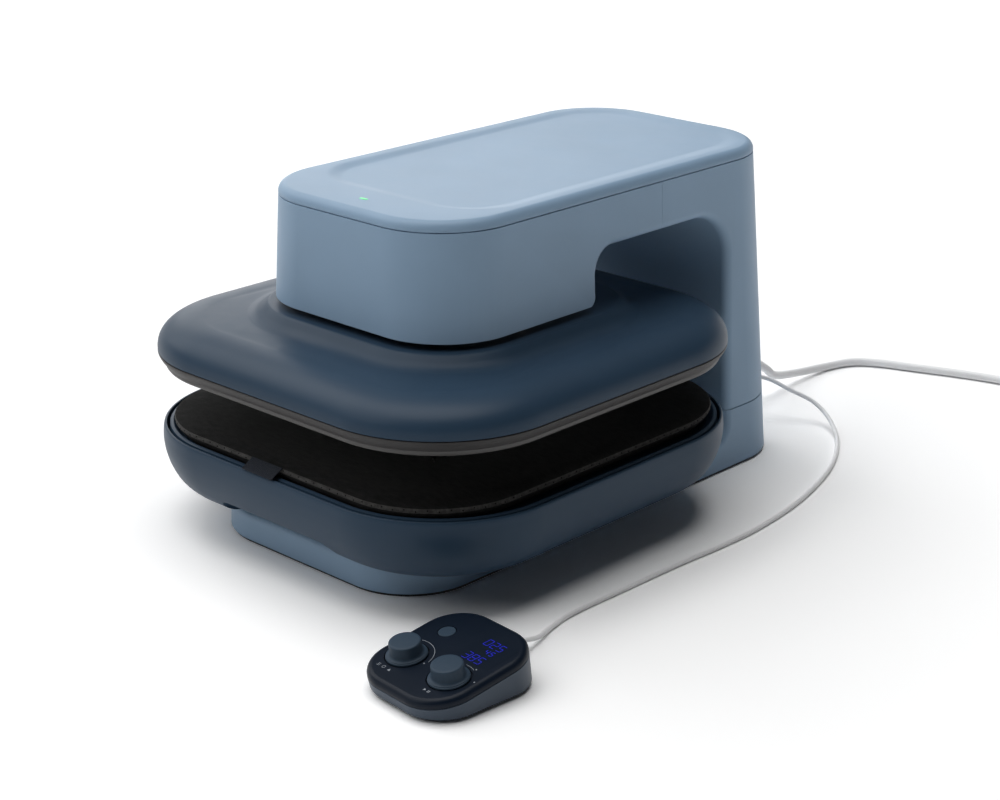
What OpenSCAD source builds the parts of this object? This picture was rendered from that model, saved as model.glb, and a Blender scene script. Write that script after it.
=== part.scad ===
// Automatic heat press: a C-shaped housing carries a motor-driven heated platen
// over a padded lower tray, with a corded control pod. Millimetres, +Z up, +Y to
// the back. The origin is where the press axis meets the table.

/* [Housing] */
// Height of the seam under the lid
seam_z = 294; // [280:1:310]
// Width of the arm at the lid seam
arm_w = 239; // [225:1:250]
// Press axis to the front of the head, at the lid seam
arm_front = 120; // [112:1:130]
// Press axis to the back of the column, at the lid seam
arm_back = 327; // [320:1:340]
// Plan corner radius at the lid seam
corner_r = 70; // [55:1:75]
// Outward lean of the sides, per mm of height
side_draft = 0.045; // [0.03:0.005:0.06]
// Outward lean of the front, per mm of height
front_draft = 0.025; // [0.01:0.005:0.04]
// Outward lean of the back, per mm of height
back_draft = 0.057; // [0.04:0.001:0.07]
// Wall of the moulded shells
wall = 3.5; // [2.5:0.5:4]
// Underside of the head
head_z = 203; // [200:1:210]
// Back face of the head
head_back = 64; // [60:1:70]
// Underside of the arm
arm_under_z = 250; // [246:1:252]
// Front face of the column
column_front = 242; // [236:1:248]
// Inner corner radius at the head
arch_head_r = 22; // [15:1:28]
// Inner corner radius at the column
arch_column_r = 42; // [30:1:50]
// Rounding under the back of the head
head_edge_r = 10; // [6:1:14]
// Rounding of the arch's side edges
arch_edge_r = 8; // [5:0.5:9]
// Line where the head shell meets the column shell
parting_y = 150; // [130:1:170]
// Width of the hairline between two shells
hairline = 0.6; // [0.4:0.1:0.9]

/* [Lid] */
// Height of the lid above its seam
lid_h = 9.4; // [8:0.2:12]
// Rounding of the lid's upper edge
lid_edge_r = 8; // [5:0.5:8]
// Plate thickness under the dish
lid_t = 5; // [4:0.5:6]
// Depth of the dished top
dish_depth = 2.4; // [1:0.2:3]
// Rim around the dish at the sides and back
dish_rim = 22; // [16:1:30]
// Rim in front of the dish
dish_front_rim = 58; // [50:1:70]
// Length of the status light
led_len = 9; // [6:0.5:12]
// Width of the status light
led_w = 4; // [3:0.5:5]
// Press axis to the status light
led_front = 92; // [85:1:100]

/* [Base] */
// Seam between base and column
base_seam_z = 58.5; // [54:0.5:64]
// Press axis to the front of the base
base_front = 174.5; // [165:0.5:180]
// Top of the base under the tray
base_top_z = 30; // [28:1:34]
// Fillet where the base meets the column
base_fillet_r = 16; // [10:1:20]
// Height of the rubber foot ring
foot_h = 4; // [3:0.5:5]
// Width of the rubber foot ring
foot_w = 12; // [8:1:16]
// Thickness of the bottom cover
base_plate_t = 4; // [3:0.5:5]

/* [Platen] */
// Width of the platen at its seam
platen_w = 414; // [404:1:418]
// Depth of the platen at its seam
platen_d = 424; // [414:1:428]
// Plan corner radius of the platen
platen_r = 113; // [105:1:118]
// Height of the heating face when open
platen_z = 145; // [140:1:150]
// Height of the heat plate's visible lip
lip_h = 4.5; // [3:0.5:6]
// Height of the bezel band
bezel_h = 9.5; // [7:0.5:11]
// Inward lean of the bezel band
bezel_lean = 5; // [2:0.5:6]
// Rounding of the shell's lower edge
platen_edge_r = 22; // [16:1:24]
// Shell skin
platen_wall = 3.5; // [2.5:0.5:4]
// Top of the raised plateau
plateau_z = 197; // [195:1:199]
// Rise of the shell from the top of its rounded edge to the plateau's foot
dome_rise = 8; // [6:0.5:9]
// Reach of the plateau's foot beyond the head
ridge_reach = 30; // [26:1:34]
// Width of the plateau's rounded slope
ridge_w = 25; // [20:1:28]

/* [Tray] */
// Width of the tray
tray_w = 415; // [408:1:420]
// Depth of the tray
tray_d = 425; // [418:1:430]
// Plan corner radius of the tray
tray_r = 117; // [110:1:120]
// Top of the tray rim
rim_z = 91; // [88:1:94]
// Thickness of the rim
rim_t = 3.5; // [3:0.5:4]
// Width of the dark groove inside the rim
groove_w = 2.6; // [2:0.2:4]
// Ledge that carries the pan
ledge_z = 80; // [78:1:82]
// Half length of the finger recess
recess_half = 72; // [60:1:80]
// Height of the finger recess
recess_h = 18.5; // [14:0.5:22]

/* [Mat] */
// Space between the pan's lip and the mat's sides
mat_space = 13; // [11:0.5:16]
// Space between the pan's lip and the mat's front and back
mat_end_space = 5.5; // [5:0.5:8]
// Plan corner radius of the mat
mat_r = 103; // [95:1:108]
// Height of the mat's bound edge above the rim
mat_edge_lift = 9; // [8:0.5:10]
// Rise of the mat's crown above its edge
mat_crown = 2; // [1.5:0.5:3]
// Width of the woven tag
tag_w = 42; // [36:1:50]
// Sideways place of the tag
tag_x = -4; // [-10:1:10]

/* [Drive] */
// Diameter of the guide rods
rod_d = 16; // [12:1:18]
// Guide rods either side of the press axis
rod_x = 90; // [86:1:94]
// Diameter of the lifting ram
ram_d = 40; // [36:1:44]
// Diameter of the drive screw
screw_d = 16; // [12:1:18]
// Sheet thickness of the inner frame
frame_t = 6; // [4:0.5:8]
// Height of the closed gearbox
gearbox_h = 22; // [18:1:26]
// Diameter of the motor that hangs from the gearbox
motor_d = 44; // [36:1:46]
// Press axis forward to the motor
motor_front = 70; // [68:1:74]
// Thickness of the insulation board
insulation_t = 12; // [8:1:14]
// Width of the control board
board_w = 90; // [80:1:100]
// Height of the control board
board_h = 90; // [80:1:100]
// Width of the power supply
supply_w = 90; // [80:1:100]
// Height of the power supply
supply_h = 45; // [40:1:48]
// Depth of the power supply
supply_d = 30; // [25:1:34]
// Running clearance, on the radius
run_gap = 0.1; // [0.05:0.01:0.1]

/* [Pod] */
// Pod centre, sideways
pod_x = 243.5; // [240:0.5:260]
// Pod centre, front to back
pod_y = -243; // [-260:0.5:-238]
// Turn of the pod on the table
pod_turn = -5; // [-12:0.5:0]
// Pod width
pod_w = 100; // [98:1:110]
// Pod depth
pod_d = 112; // [106:1:118]
// Pod corner radius
pod_r = 34; // [28:1:38]
// Height of the top face at its middle
pod_h = 26.5; // [26:0.5:32]
// Tilt of the top face
pod_tilt = 9; // [6:0.1:10]
// Seam below the top face
pod_seam = 11; // [10:0.5:12]
// Rounding of the top edge
pod_edge_r = 8; // [6:0.5:9]
// Wall of the pod shells
pod_wall = 2.5; // [2:0.25:3]
// Knob diameter
knob_d = 25.5; // [22:0.5:28]
// Knob height above its flange
knob_h = 12; // [10:0.5:15]
// Flange diameter
flange_d = 32.5; // [31:0.5:34]
// Knobs either side of the middle
knob_x = 24.5; // [23:0.5:26]
// Knobs in front of the middle
knob_y = -19; // [-21:0.5:-17]
// Knob press depth
knob_push = 1.5; // [1:0.25:2]
// Button diameter
button_d = 14; // [12:0.5:16]
// Button behind the middle
button_y = 21; // [19:0.5:23]
// Button press depth
button_push = 1.2; // [0.8:0.1:1.5]
// Pod feet either side of the middle
pod_foot_x = 30; // [26:1:34]
// Pod feet in front of and behind the middle
pod_foot_y = 28; // [24:1:32]
// Diameter of the pod feet
pod_foot_d = 14; // [10:1:16]
// Height of the pod feet
pod_foot_h = 2; // [1.5:0.5:3]
// Height of the cable above the table at the pod
pod_cable_z = 14; // [13:0.5:15]
// Display window width
display_w = 36; // [30:1:38]
// Display window depth
display_d = 24; // [18:1:25]

/* [Cords] */
// Power cord diameter
power_d = 8.5; // [8:0.5:9]
// Pod cable diameter
cable_d = 4.2; // [4:0.2:5]
// Length of the power cord's strain relief
power_boot = 26; // [20:1:28]
// Length of the pod cable's strain relief
cable_boot = 12; // [8:1:14]
// Loops in each layer of the coil
coil_turns = 1.75; // [1.75:1:3.75]
// Outer radius of the coil
coil_r = 66; // [62:1:75]
// Space between neighbouring turns
coil_gap = 1.2; // [0.8:0.1:2]

/* [Hidden] */
$fn = 72;
arc_n = 8;
lid_top = seam_z + lid_h;
platen_seam_z = platen_z + lip_h + bezel_h;
pan_inset = rim_t + groove_w;
pan_floor_z = ledge_z + 4;
skin = 3;
carriage_t = 8;
carriage_edge = 16;
bay_r = 8;
carriage_z = plateau_z - skin - carriage_t;
frame_top = seam_z - 6;
gearbox_z = frame_top - gearbox_h;
frame_x = 62;
head_plate_z = head_z + wall + 5.5;
head_plate_t = 8;
bush_d = rod_d + 10;
bush_top = head_plate_z + head_plate_t + 16;
rod_top = frame_top;
ram_top = gearbox_z - 8;
nut_h = 20;
soft_gap = 0.3;
cover_gap = 0.7;
fit_gap = 0.1;
gland_wall = 2.4;
front_reach = 260;
frame_back = arm_back - wall - 6;
plate_t = 10;
post_d = 14;
button_h = 7;

// Power cord: rear gland, down to the table, then off to the right
power_exit = [30, 0, 62];
power_route = [[30, 352, 62], [30, 372, 62], [32, 388, 58], [37, 406, 46], [41, 424, 33], [42, 440, 22],
    [34, 490, 10], [36, 540, 4.6], [48, 572, 4.6], [72, 589, 4.6], [104, 601, 4.6], [150, 618, 4.6],
    [192, 630, 4.6], [232, 635, 4.6], [262, 636, 4.6]];
coil_centre = [262, 636 + coil_r];
// Pod cable: rear gland, round the column, forward along the side to the pod
cable_exit = [58, 0, 45];
cable_route = [[58, 352, 45], [58, 362, 45], [64, 374, 44], [76, 386, 39], [93, 394, 31], [116, 405, 20],
    [143, 396, 9], [174, 363, 2.4], [205, 304, 2.4], [228, 227, 2.4], [238, 153, 2.4],
    [238, 96, 2.4], [235, 45, 2.4], [233, -31, 2.4], [232, -88, 2.4], [237, -120, 2.4],
    [245, -145, 5.5], [249, -166, 12]];

slate = [0.36, 0.46, 0.56];
navy = [0.07, 0.11, 0.17];
black = [0.03, 0.03, 0.03];
steel = [0.6, 0.62, 0.65];

// Outline of the housing at a height
function body_half(z) = arm_w / 2 + side_draft * (seam_z - z);
function body_front(z) = -arm_front - front_draft * (seam_z - z);
function body_back(z) = arm_back + back_draft * (seam_z - z);
function body_r(z) = corner_r - 0.017 * (seam_z - z);

// Arc as [inset, z] points of a wall profile
function arc(ci, cz, r, a0, a1, n = arc_n) =
    [for (i = [0:n]) let (a = a0 + (a1 - a0) * i / n) [ci - r * cos(a), cz + r * sin(a)]];

// Rounded rectangle as a ring of points at one height
function ring(half, y0, y1, r, z, n = 10) =
    [for (c = [0:3]) for (i = [0:n])
        let (a = 90 * (c + i / n),
             cx = (c == 0 || c == 3) ? half - r : r - half,
             cy = c < 2 ? y1 - r : y0 + r)
        [cx + r * cos(a), cy + r * sin(a), z]];

// Solid through rings with the same number of points
module loft(rings) {
    m = len(rings[0]);
    k = len(rings);
    points = [for (r = rings) each r];
    sides = [for (j = [0:k - 2]) for (i = [0:m - 1])
        [j * m + i, (j + 1) * m + i, (j + 1) * m + (i + 1) % m, j * m + (i + 1) % m]];
    bottom = [for (i = [0:m - 1]) i];
    top = [for (i = [m - 1:-1:0]) (k - 1) * m + i];
    polyhedron(points = points, faces = concat([bottom, top], sides), convexity = 6);
}

// Solid whose wall profile, given as [inset, z] points, runs round a rounded rectangle
module swept(half, y0, y1, r, profile) {
    last = len(profile) - 1;
    poly = concat([[0, profile[0][1]]], [for (p = profile) [r - p[0], p[1]]], [[0, profile[last][1]]]);
    z0 = profile[0][1];
    for (c = [0:3])
        translate([(c == 0 || c == 3) ? half - r : r - half, c < 2 ? y1 - r : y0 + r, 0])
            rotate(90 * c)
                rotate_extrude(angle = 90)
                    polygon(poly);
    for (s = [0, 1]) {
        translate([(half - r) * (1 - 2 * s), s == 0 ? y1 - r : y0 + r, 0])
            rotate([90, 0, 180 * s])
                linear_extrude(y1 - y0 - 2 * r)
                    polygon(poly);
        translate([(r - half) * (1 - 2 * s), s == 0 ? y1 - r : y0 + r, 0])
            rotate([90, 0, 90 + 180 * s])
                linear_extrude(2 * (half - r))
                    polygon(poly);
    }
    translate([r - half, y0 + r, z0])
        cube([2 * (half - r), y1 - y0 - 2 * r, profile[last][1] - z0]);
}

// Flat rounded plate
module slab(half, y0, y1, r, z0, z1) {
    translate([0, 0, z0])
        linear_extrude(z1 - z0) {
            translate([r - half, y0])
                square([2 * (half - r), y1 - y0]);
            translate([-half, y0 + r])
                square([2 * half, y1 - y0 - 2 * r]);
            for (x = [r - half, half - r])
                for (y = [y0 + r, y1 - r])
                    translate([x, y])
                        circle(r);
        }
}

// Slab inset from the platen's or the tray's outline
module plan_slab(w, d, r, inset, z0, z1) {
    slab(w / 2 - inset, inset - d / 2, d / 2 - inset, r - inset, z0, z1);
}

// Side outline of the C opening, grown by o, as [y, z]
function c_outline(o, n = 7) = concat(
    [[-front_reach, base_top_z - o]],
    [for (i = [0:n]) let (a = -90 + 90 * i / n)
        [column_front - base_fillet_r + (base_fillet_r + o) * cos(a),
         base_top_z + base_fillet_r + (base_fillet_r + o) * sin(a)]],
    [for (i = [0:n]) let (a = 90 * i / n)
        [column_front - arch_column_r + (arch_column_r + o) * cos(a),
         arm_under_z - arch_column_r + (arch_column_r + o) * sin(a)]],
    [for (i = [0:n]) let (a = 90 + 90 * i / n)
        [head_back + arch_head_r + (arch_head_r + o) * cos(a),
         arm_under_z - arch_head_r + (arch_head_r + o) * sin(a)]],
    [for (i = [0:n]) let (t = i / n, a = -90 * t, r = head_edge_r - o * (1 - t))
        [head_back - head_edge_r + r * cos(a), head_z + head_edge_r + r * sin(a)]],
    [[-front_reach, head_z]]);

// Cutter for the C opening: its outline flares out at the side faces to round them
module c_opening() {
    e = arch_edge_r;
    flare = concat([[-3, e]], [for (i = [0:4]) let (a = 90 * i / 4) [e * (1 - cos(a)), e * (1 - sin(a))]]);
    left = [for (f = flare) [for (p = c_outline(f[1])) [f[0] - body_half(p[1]), p[0], p[1]]]];
    right = [for (i = [len(flare) - 1:-1:0]) [for (p = left[i]) [-p[0], p[1], p[2]]]];
    loft(concat(left, right));
}

// The same opening grown by the wall, all the way across
module c_opening_wall() {
    half = 160;
    loft([for (x = [-half, half]) [for (p = c_outline(wall)) [x, p[0], p[1]]]]);
}

// Housing between two heights, inset by the wall where asked
module body_loft(z0, z1, inset, front = undef) {
    loft([for (z = [z0, z1])
        ring(body_half(z) - inset, (is_undef(front) ? body_front(z) : -front) + inset, body_back(z) - inset,
             body_r(z) - inset, z)]);
}

module shell_body() {
    difference() {
        body_loft(base_seam_z + hairline, seam_z, 0);
        c_opening();
        difference() {
            body_loft(base_seam_z - 5, seam_z + 5, wall);
            c_opening_wall();
        }
    }
}

module column_shell() {
    color(slate)
        difference() {
            shell_body();
            translate([-200, -300, 0])
                cube([400, 300 + parting_y, 400]);
            rear_bores();
        }
}

module head_shell() {
    color(slate)
        difference() {
            shell_body();
            translate([-200, parting_y - hairline, 0])
                cube([400, 300, 400]);
            translate([0, 0, head_z - 10])
                cylinder(d = ram_d + 4, h = 40);
            for (s = [-1, 1])
                translate([s * rod_x, 0, head_z - 10])
                    cylinder(d = rod_d + 4, h = 12 + wall);
        }
}

// Bores for the two cord glands in the back wall
module rear_bores() {
    for (g = [[power_exit, power_d], [cable_exit, cable_d]])
        translate([g[0][0], frame_back, g[0][2]])
            rotate([-90, 0, 0])
                cylinder(d = g[1] + 2 * (gland_wall + fit_gap), h = 60);
}

module base_shell() {
    z0 = foot_h;
    color(slate)
        difference() {
            body_loft(z0, base_seam_z, 0, base_front);
            c_opening();
            difference() {
                body_loft(z0 - 2, base_seam_z + 5, wall, base_front);
                c_opening_wall();
            }
            rear_bores();
        }
}

module base_plate() {
    z = foot_h + base_plate_t;
    inset = wall + cover_gap;
    color(black)
        slab(body_half(z) - inset, inset - base_front, body_back(z) - inset, body_r(z) - inset, foot_h, z);
}

module foot_ring() {
    inset = 2;
    color(black)
        difference() {
            slab(body_half(0) - inset, inset - base_front, body_back(0) - inset, body_r(0) - inset,
                 0, foot_h);
            slab(body_half(0) - inset - foot_w, inset + foot_w - base_front, body_back(0) - inset - foot_w,
                 body_r(0) - inset - foot_w, -1, foot_h + 1);
        }
}

module lid() {
    z0 = seam_z + hairline;
    half = arm_w / 2;
    rib = wall + soft_gap;
    edge = concat([[0, z0]], arc(lid_edge_r, lid_top - lid_edge_r, lid_edge_r, 0, 84, 6),
        [[corner_r - 4, lid_top]]);
    dish = [[dish_rim + 6, lid_top - dish_depth], [dish_rim + 3, lid_top - 0.8 * dish_depth],
        [dish_rim, lid_top - 0.3 * dish_depth], [dish_rim - 2, lid_top + 0.01]];
    color(slate)
        difference() {
            union() {
                swept(half, -arm_front, arm_back, corner_r, edge);
                difference() {
                    slab(half - rib, rib - arm_front, arm_back - rib, corner_r - rib, z0 - 3, z0 + 1);
                    slab(half - rib - 2, rib + 2 - arm_front, arm_back - rib - 2, corner_r - rib - 2,
                         z0 - 4, z0 + 2);
                }
            }
            swept(half, dish_front_rim - dish_rim - arm_front, arm_back, corner_r, dish);
            slab(half - lid_t - 2, lid_t + 2 - arm_front, arm_back - lid_t - 2, corner_r - lid_t - 2,
                 z0 - 1, lid_top - lid_t);
            status_slot(0);
        }
}

module status_slot(gap) {
    r = led_w / 2 - gap;
    for (s = [-1, 1])
        translate([s * (led_len - led_w) / 2, -led_front, lid_top - lid_t - 1])
            cylinder(r = r, h = lid_t + 1.6);
    translate([(led_w - led_len) / 2, -led_front - r, lid_top - lid_t - 1])
        cube([led_len - led_w, 2 * r, lid_t + 1.6]);
}

module status_light() {
    color([0.3, 0.9, 0.4])
        intersection() {
            status_slot(0.1);
            translate([-10, -led_front - 10, 0])
                cube([20, 20, lid_top + 0.2]);
        }
}

// Inner frame: two C plates joined by a head plate and a back plate
module inner_frame() {
    under = arm_under_z + wall + 5;
    front = column_front + wall + 18;
    back = frame_back;
    low = foot_h + base_plate_t;
    outline = [[-60, head_plate_z], [head_back - wall - 4, head_plate_z], [head_back - wall - 4, under],
        [front, under], [front, base_top_z - wall - 3], [-110, base_top_z - wall - 3], [-110, low],
        [back, low], [back, frame_top], [-60, frame_top]];
    color(steel)
        difference() {
            union() {
                for (s = [0, 1])
                    translate([s == 0 ? frame_x : -frame_x - frame_t, 0, 0])
                        rotate([90, 0, 90])
                            linear_extrude(frame_t)
                                polygon(outline);
                translate([-rod_x - 18, -42, head_plate_z])
                    cube([2 * rod_x + 36, 84, head_plate_t]);
                translate([-frame_x - 1, back - frame_t, low])
                    cube([2 * frame_x + 2, frame_t, frame_top - low]);
                translate([-frame_x - 1, -110, low])
                    cube([2 * frame_x + 2, 20, base_top_z - wall - 3 - low]);
            }
            for (s = [-1, 1])
                translate([s * rod_x, 0, head_plate_z - 1])
                    cylinder(d = bush_d + 0.2, h = head_plate_t + 2);
            translate([0, 0, head_plate_z - 1])
                cylinder(d = ram_d + 6, h = head_plate_t + 2);
            for (g = [[power_exit, power_d + 8], [cable_exit, cable_d + 8]])
                translate([g[0][0], back - frame_t - 1, g[0][2]])
                    rotate([-90, 0, 0])
                        cylinder(d = g[1] + 6, h = frame_t + 2);
        }
}

module guide_bush(s) {
    color([0.7, 0.55, 0.3])
        translate([s * rod_x, 0, 0])
            difference() {
                union() {
                    translate([0, 0, head_plate_z - 3])
                        cylinder(d = bush_d, h = bush_top - head_plate_z + 3);
                    translate([0, 0, head_plate_z + head_plate_t])
                        cylinder(d = bush_d + 7, h = 3);
                }
                translate([0, 0, head_plate_z - 10])
                    cylinder(d = rod_d + 2 * run_gap, h = 80);
            }
}

module guide_bush_left() {
    guide_bush(-1);
}

module guide_bush_right() {
    guide_bush(1);
}

// Closed gearbox between the frame plates, with its motor hanging beside the screw
module gear_motor() {
    half_d = 38;
    flange_r = motor_d / 2 + 4;
    motor_z = head_plate_z + 2;
    color([0.25, 0.26, 0.28])
        difference() {
            union() {
                translate([-frame_x, -half_d, gearbox_z])
                    cube([2 * frame_x, 2 * half_d, gearbox_h]);
                translate([-flange_r, -motor_front, gearbox_z])
                    cube([2 * flange_r, motor_front, gearbox_h]);
                translate([0, -motor_front, gearbox_z])
                    cylinder(r = flange_r, h = gearbox_h);
                translate([0, -motor_front, motor_z])
                    cylinder(d = motor_d, h = gearbox_z - motor_z + 1);
            }
            translate([0, 0, gearbox_z - 1])
                cylinder(d = screw_d + 2 * run_gap, h = 16);
        }
}

module drive_screw() {
    z0 = plateau_z + 6;
    color(steel)
        translate([0, 0, z0])
            cylinder(d = screw_d, h = gearbox_z + 14 - z0);
}

module lift_nut() {
    color([0.72, 0.58, 0.3])
        difference() {
            union() {
                translate([0, 0, ram_top - nut_h + 4])
                    cylinder(d = ram_d - 10.4, h = nut_h);
                translate([0, 0, ram_top])
                    cylinder(d = ram_d, h = 4);
            }
            translate([0, 0, ram_top - nut_h])
                cylinder(d = screw_d + 2 * run_gap, h = nut_h + 10);
        }
}

module lift_ram() {
    z0 = carriage_z + carriage_t;
    color(steel)
        translate([0, 0, z0])
            difference() {
                cylinder(d = ram_d, h = ram_top - z0);
                translate([0, 0, 3])
                    cylinder(d = ram_d - 10, h = ram_top);
            }
}

module guide_rod(s) {
    color(steel)
        translate([s * rod_x, 0, carriage_z + carriage_t])
            cylinder(d = rod_d, h = rod_top - carriage_z - carriage_t);
}

module guide_rod_left() {
    guide_rod(-1);
}

module guide_rod_right() {
    guide_rod(1);
}

// Load plate under the plateau, with posts down to the heat plate
module carriage() {
    half = rod_x + carriage_edge;
    color(steel) {
        slab(half, -half, half, bay_r - cover_gap, carriage_z, carriage_z + carriage_t);
        for (x = [-1, 1])
            for (y = [-1, 1])
                translate([x * rod_x, y * rod_x, platen_z + plate_t])
                    cylinder(d = post_d, h = carriage_z - platen_z - plate_t + 1);
    }
}

// Raised plateau: follows the head's outline, with a slope that starts hollow and ends round
module plateau(foot_z) {
    reach = ridge_reach - body_front(head_z);
    rise = plateau_z - foot_z;
    slope = [[0, 0], [0.12, 0.08], [0.28, 0.17], [0.42, 0.31], [0.54, 0.5], [0.64, 0.71], [0.74, 0.87],
        [0.86, 0.97], [1, 1]];
    swept(body_half(head_z) + ridge_reach, -reach, reach, body_r(head_z) + ridge_reach,
          [for (p = slope) [ridge_w * p[0], foot_z + rise * p[1]]]);
}

module platen_shell() {
    z0 = platen_seam_z + hairline;
    e = platen_edge_r;
    t = platen_wall;
    dome_z = z0 + e + dome_rise;
    outer = concat(arc(e, z0, e, 0, 80), [[58, dome_z - 2.5], [100, dome_z]]);
    inner = concat([[t, z0 - 1]], arc(e, z0, e - t, 0, 80), [[58, dome_z - 2.5 - t], [100, dome_z - t]]);
    bay = rod_x + carriage_edge + cover_gap;
    color(navy)
        difference() {
            union() {
                swept(platen_w / 2, -platen_d / 2, platen_d / 2, platen_r, outer);
                plateau(dome_z - 3.6);
            }
            swept(platen_w / 2, -platen_d / 2, platen_d / 2, platen_r, inner);
            slab(bay, -bay, bay, bay_r, dome_z - t - 4, plateau_z - skin);
            translate([0, 0, plateau_z - skin - 1])
                cylinder(d = ram_d + 4, h = skin + 2);
            for (s = [-1, 1])
                translate([s * rod_x, 0, plateau_z - skin - 1])
                    cylinder(d = rod_d + 4, h = skin + 2);
        }
}

module platen_bezel() {
    z0 = platen_z + lip_h;
    color([0.2, 0.21, 0.22])
        difference() {
            swept(platen_w / 2, -platen_d / 2, platen_d / 2, platen_r,
                  [[bezel_lean, z0], [0.4 * bezel_lean, z0 + 0.45 * bezel_h], [0, platen_seam_z - 1],
                      [0, platen_seam_z]]);
            plan_slab(platen_w, platen_d, platen_r, 16, z0 - 1, platen_seam_z + 1);
        }
}

module heat_plate() {
    inset = bezel_lean + 1;
    r = 2.5;
    color([0.3, 0.31, 0.32]) {
        swept(platen_w / 2, -platen_d / 2, platen_d / 2, platen_r,
              concat([[inset + r, platen_z]], arc(inset + r, platen_z + r, r, -60, 0, 3),
                  [[inset, platen_z + lip_h]]));
        plan_slab(platen_w, platen_d, platen_r, 16 + soft_gap, platen_z + lip_h - 1, platen_z + plate_t);
    }
}

module insulation() {
    half = rod_x;
    z0 = platen_z + plate_t;
    color([0.85, 0.83, 0.75])
        difference() {
            plan_slab(platen_w, platen_d, platen_r, 24, z0, z0 + insulation_t);
            for (x = [-1, 1])
                for (y = [-1, 1])
                    translate([x * half, y * half, z0 - 1])
                        cylinder(d = post_d + 2, h = insulation_t + 2);
        }
}

module tray_shell() {
    half = tray_w / 2;
    y1 = tray_d / 2;
    t = 4;
    z0 = base_top_z;
    waist = rim_z - 13;
    outer = [[46, z0], [34, z0 + 1], [25, z0 + 4], [17, z0 + 9], [10, z0 + 16.5], [4.5, z0 + 27],
        [1.2, z0 + 38], [0, waist], [0.4, rim_z - 5], [1, rim_z - 1.6], [2, rim_z]];
    inner = [[50, z0 + t], [36, z0 + t + 1.5], [28, z0 + t + 5], [21, z0 + t + 10], [14.5, z0 + t + 17],
        [9, z0 + t + 26], [6, z0 + t + 36], [5, ledge_z - t]];
    color(navy)
        difference() {
            swept(half, -y1, y1, tray_r, outer);
            difference() {
                swept(half, -y1, y1, tray_r, inner);
                finger_recess(t);
            }
            plan_slab(tray_w, tray_d, tray_r, 18, ledge_z - t - 1, ledge_z + 1);
            plan_slab(tray_w, tray_d, tray_r, rim_t, ledge_z, rim_z + 1);
            plan_slab(tray_w, tray_d, tray_r, 92, z0 - 1, z0 + t + 1);
            finger_recess(0);
        }
}

// Rounded slot under the tray's front edge, grown by o
module finger_recess(o) {
    r = recess_h - 4;
    depth = tray_d / 2 - base_front + 2 + o;
    translate([0, -tray_d / 2 - 10, base_top_z])
        rotate([-90, 0, 0])
            linear_extrude(10 + depth) {
                translate([-recess_half - o, -4])
                    square([2 * (recess_half + o), 14]);
                translate([r - recess_half - o, -recess_h - o])
                    square([2 * (recess_half + o - r), recess_h + o + 10]);
                for (s = [-1, 1])
                    translate([s * (recess_half + o - r), -recess_h - o + r])
                        circle(r);
            }
}

module tray_pan() {
    half = tray_w / 2;
    y1 = tray_d / 2;
    i = pan_inset;
    color(navy)
        difference() {
            swept(half, -y1, y1, tray_r,
                  [[i, ledge_z], [i, rim_z - 1], [i + 1, rim_z], [i + 3, rim_z + 0.4]]);
            swept(half, -y1, y1, tray_r, [[i + 11, pan_floor_z], [i + 8, pan_floor_z + 1.2],
                [i + 5, rim_z - 1.6], [i + 3, rim_z + 0.5]]);
        }
}

// Mat: drawn in where it sits in the pan, with a bound edge that stands above the rim
module mat() {
    half = tray_w / 2 - pan_inset - mat_space;
    y1 = tray_d / 2 - pan_inset - mat_end_space;
    z0 = pan_floor_z;
    e = rim_z + mat_edge_lift;
    color(black)
        swept(half, -y1, y1, mat_r, [[9, z0], [8, z0 + 1], [6, z0 + 3], [2.5, rim_z], [0.6, e - 6.4],
            [0, e - 4.6], [0.1, e - 2.8], [0.8, e - 1], [2.4, e - 0.2], [6, e + 0.1 * mat_crown],
            [20, e + 0.4 * mat_crown], [50, e + 0.8 * mat_crown], [mat_r - 2, e + mat_crown]]);
}

// Fabric tag sewn to the mat's edge, sloping over the rim
module mat_tag() {
    t = 0.8;
    root_y = soft_gap + tray_d / 2 - pan_inset - mat_end_space;
    tip_y = tray_d / 2 + 1.3;
    run = tip_y - root_y;
    line = [[root_y, rim_z + 5.6], [root_y + 0.28 * run, rim_z + 3.9], [root_y + 0.56 * run, rim_z + 2.2],
        [root_y + 0.81 * run, rim_z + 0.9], [tip_y, rim_z - 1.4]];
    outline = concat([for (p = line) [-p[0], p[1]]], [for (i = [4:-1:0]) [-line[i][0], line[i][1] + t]]);
    color(navy)
        translate([tag_x - tag_w / 2, 0, 0])
            rotate([90, 0, 90])
                linear_extrude(tag_w)
                    polygon(outline);
}

module control_board() {
    back = frame_back - frame_t;
    low = 130;
    edge = 7;
    spacer = 6.4;
    color([0.1, 0.35, 0.2]) {
        translate([-board_w / 2, back - spacer - 1.6, low])
            cube([board_w, 1.6, board_h]);
        for (x = [edge - board_w / 2, board_w / 2 - edge])
            for (z = [low + edge, low + board_h - edge])
                translate([x, back - spacer - 1, z])
                    rotate([-90, 0, 0])
                        cylinder(d = 6, h = spacer + 1);
    }
}

module power_supply() {
    color([0.55, 0.56, 0.58])
        translate([-supply_w / 2, frame_back - frame_t - supply_d, 80])
            cube([supply_w, supply_d, supply_h]);
}

// Pod frames: on the table, and on the tilted top face
module pod_place() {
    translate([pod_x, pod_y, 0])
        rotate(pod_turn)
            children();
}

module pod_face() {
    pod_place()
        translate([0, 0, pod_h])
            rotate([pod_tilt, 0, 0])
                children();
}

// Tilted puck, cut flat at the bottom
module pod_puck(inset, depth, top) {
    half = pod_w / 2;
    e = pod_edge_r;
    profile = concat([[inset + 2, -depth - 40], [inset, -depth - 6]],
        arc(e + inset, top - e, e, 0, 84, 6), [[pod_r - 2, top]]);
    pod_face()
        swept(half, -pod_d / 2, pod_d / 2, pod_r, profile);
}

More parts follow.
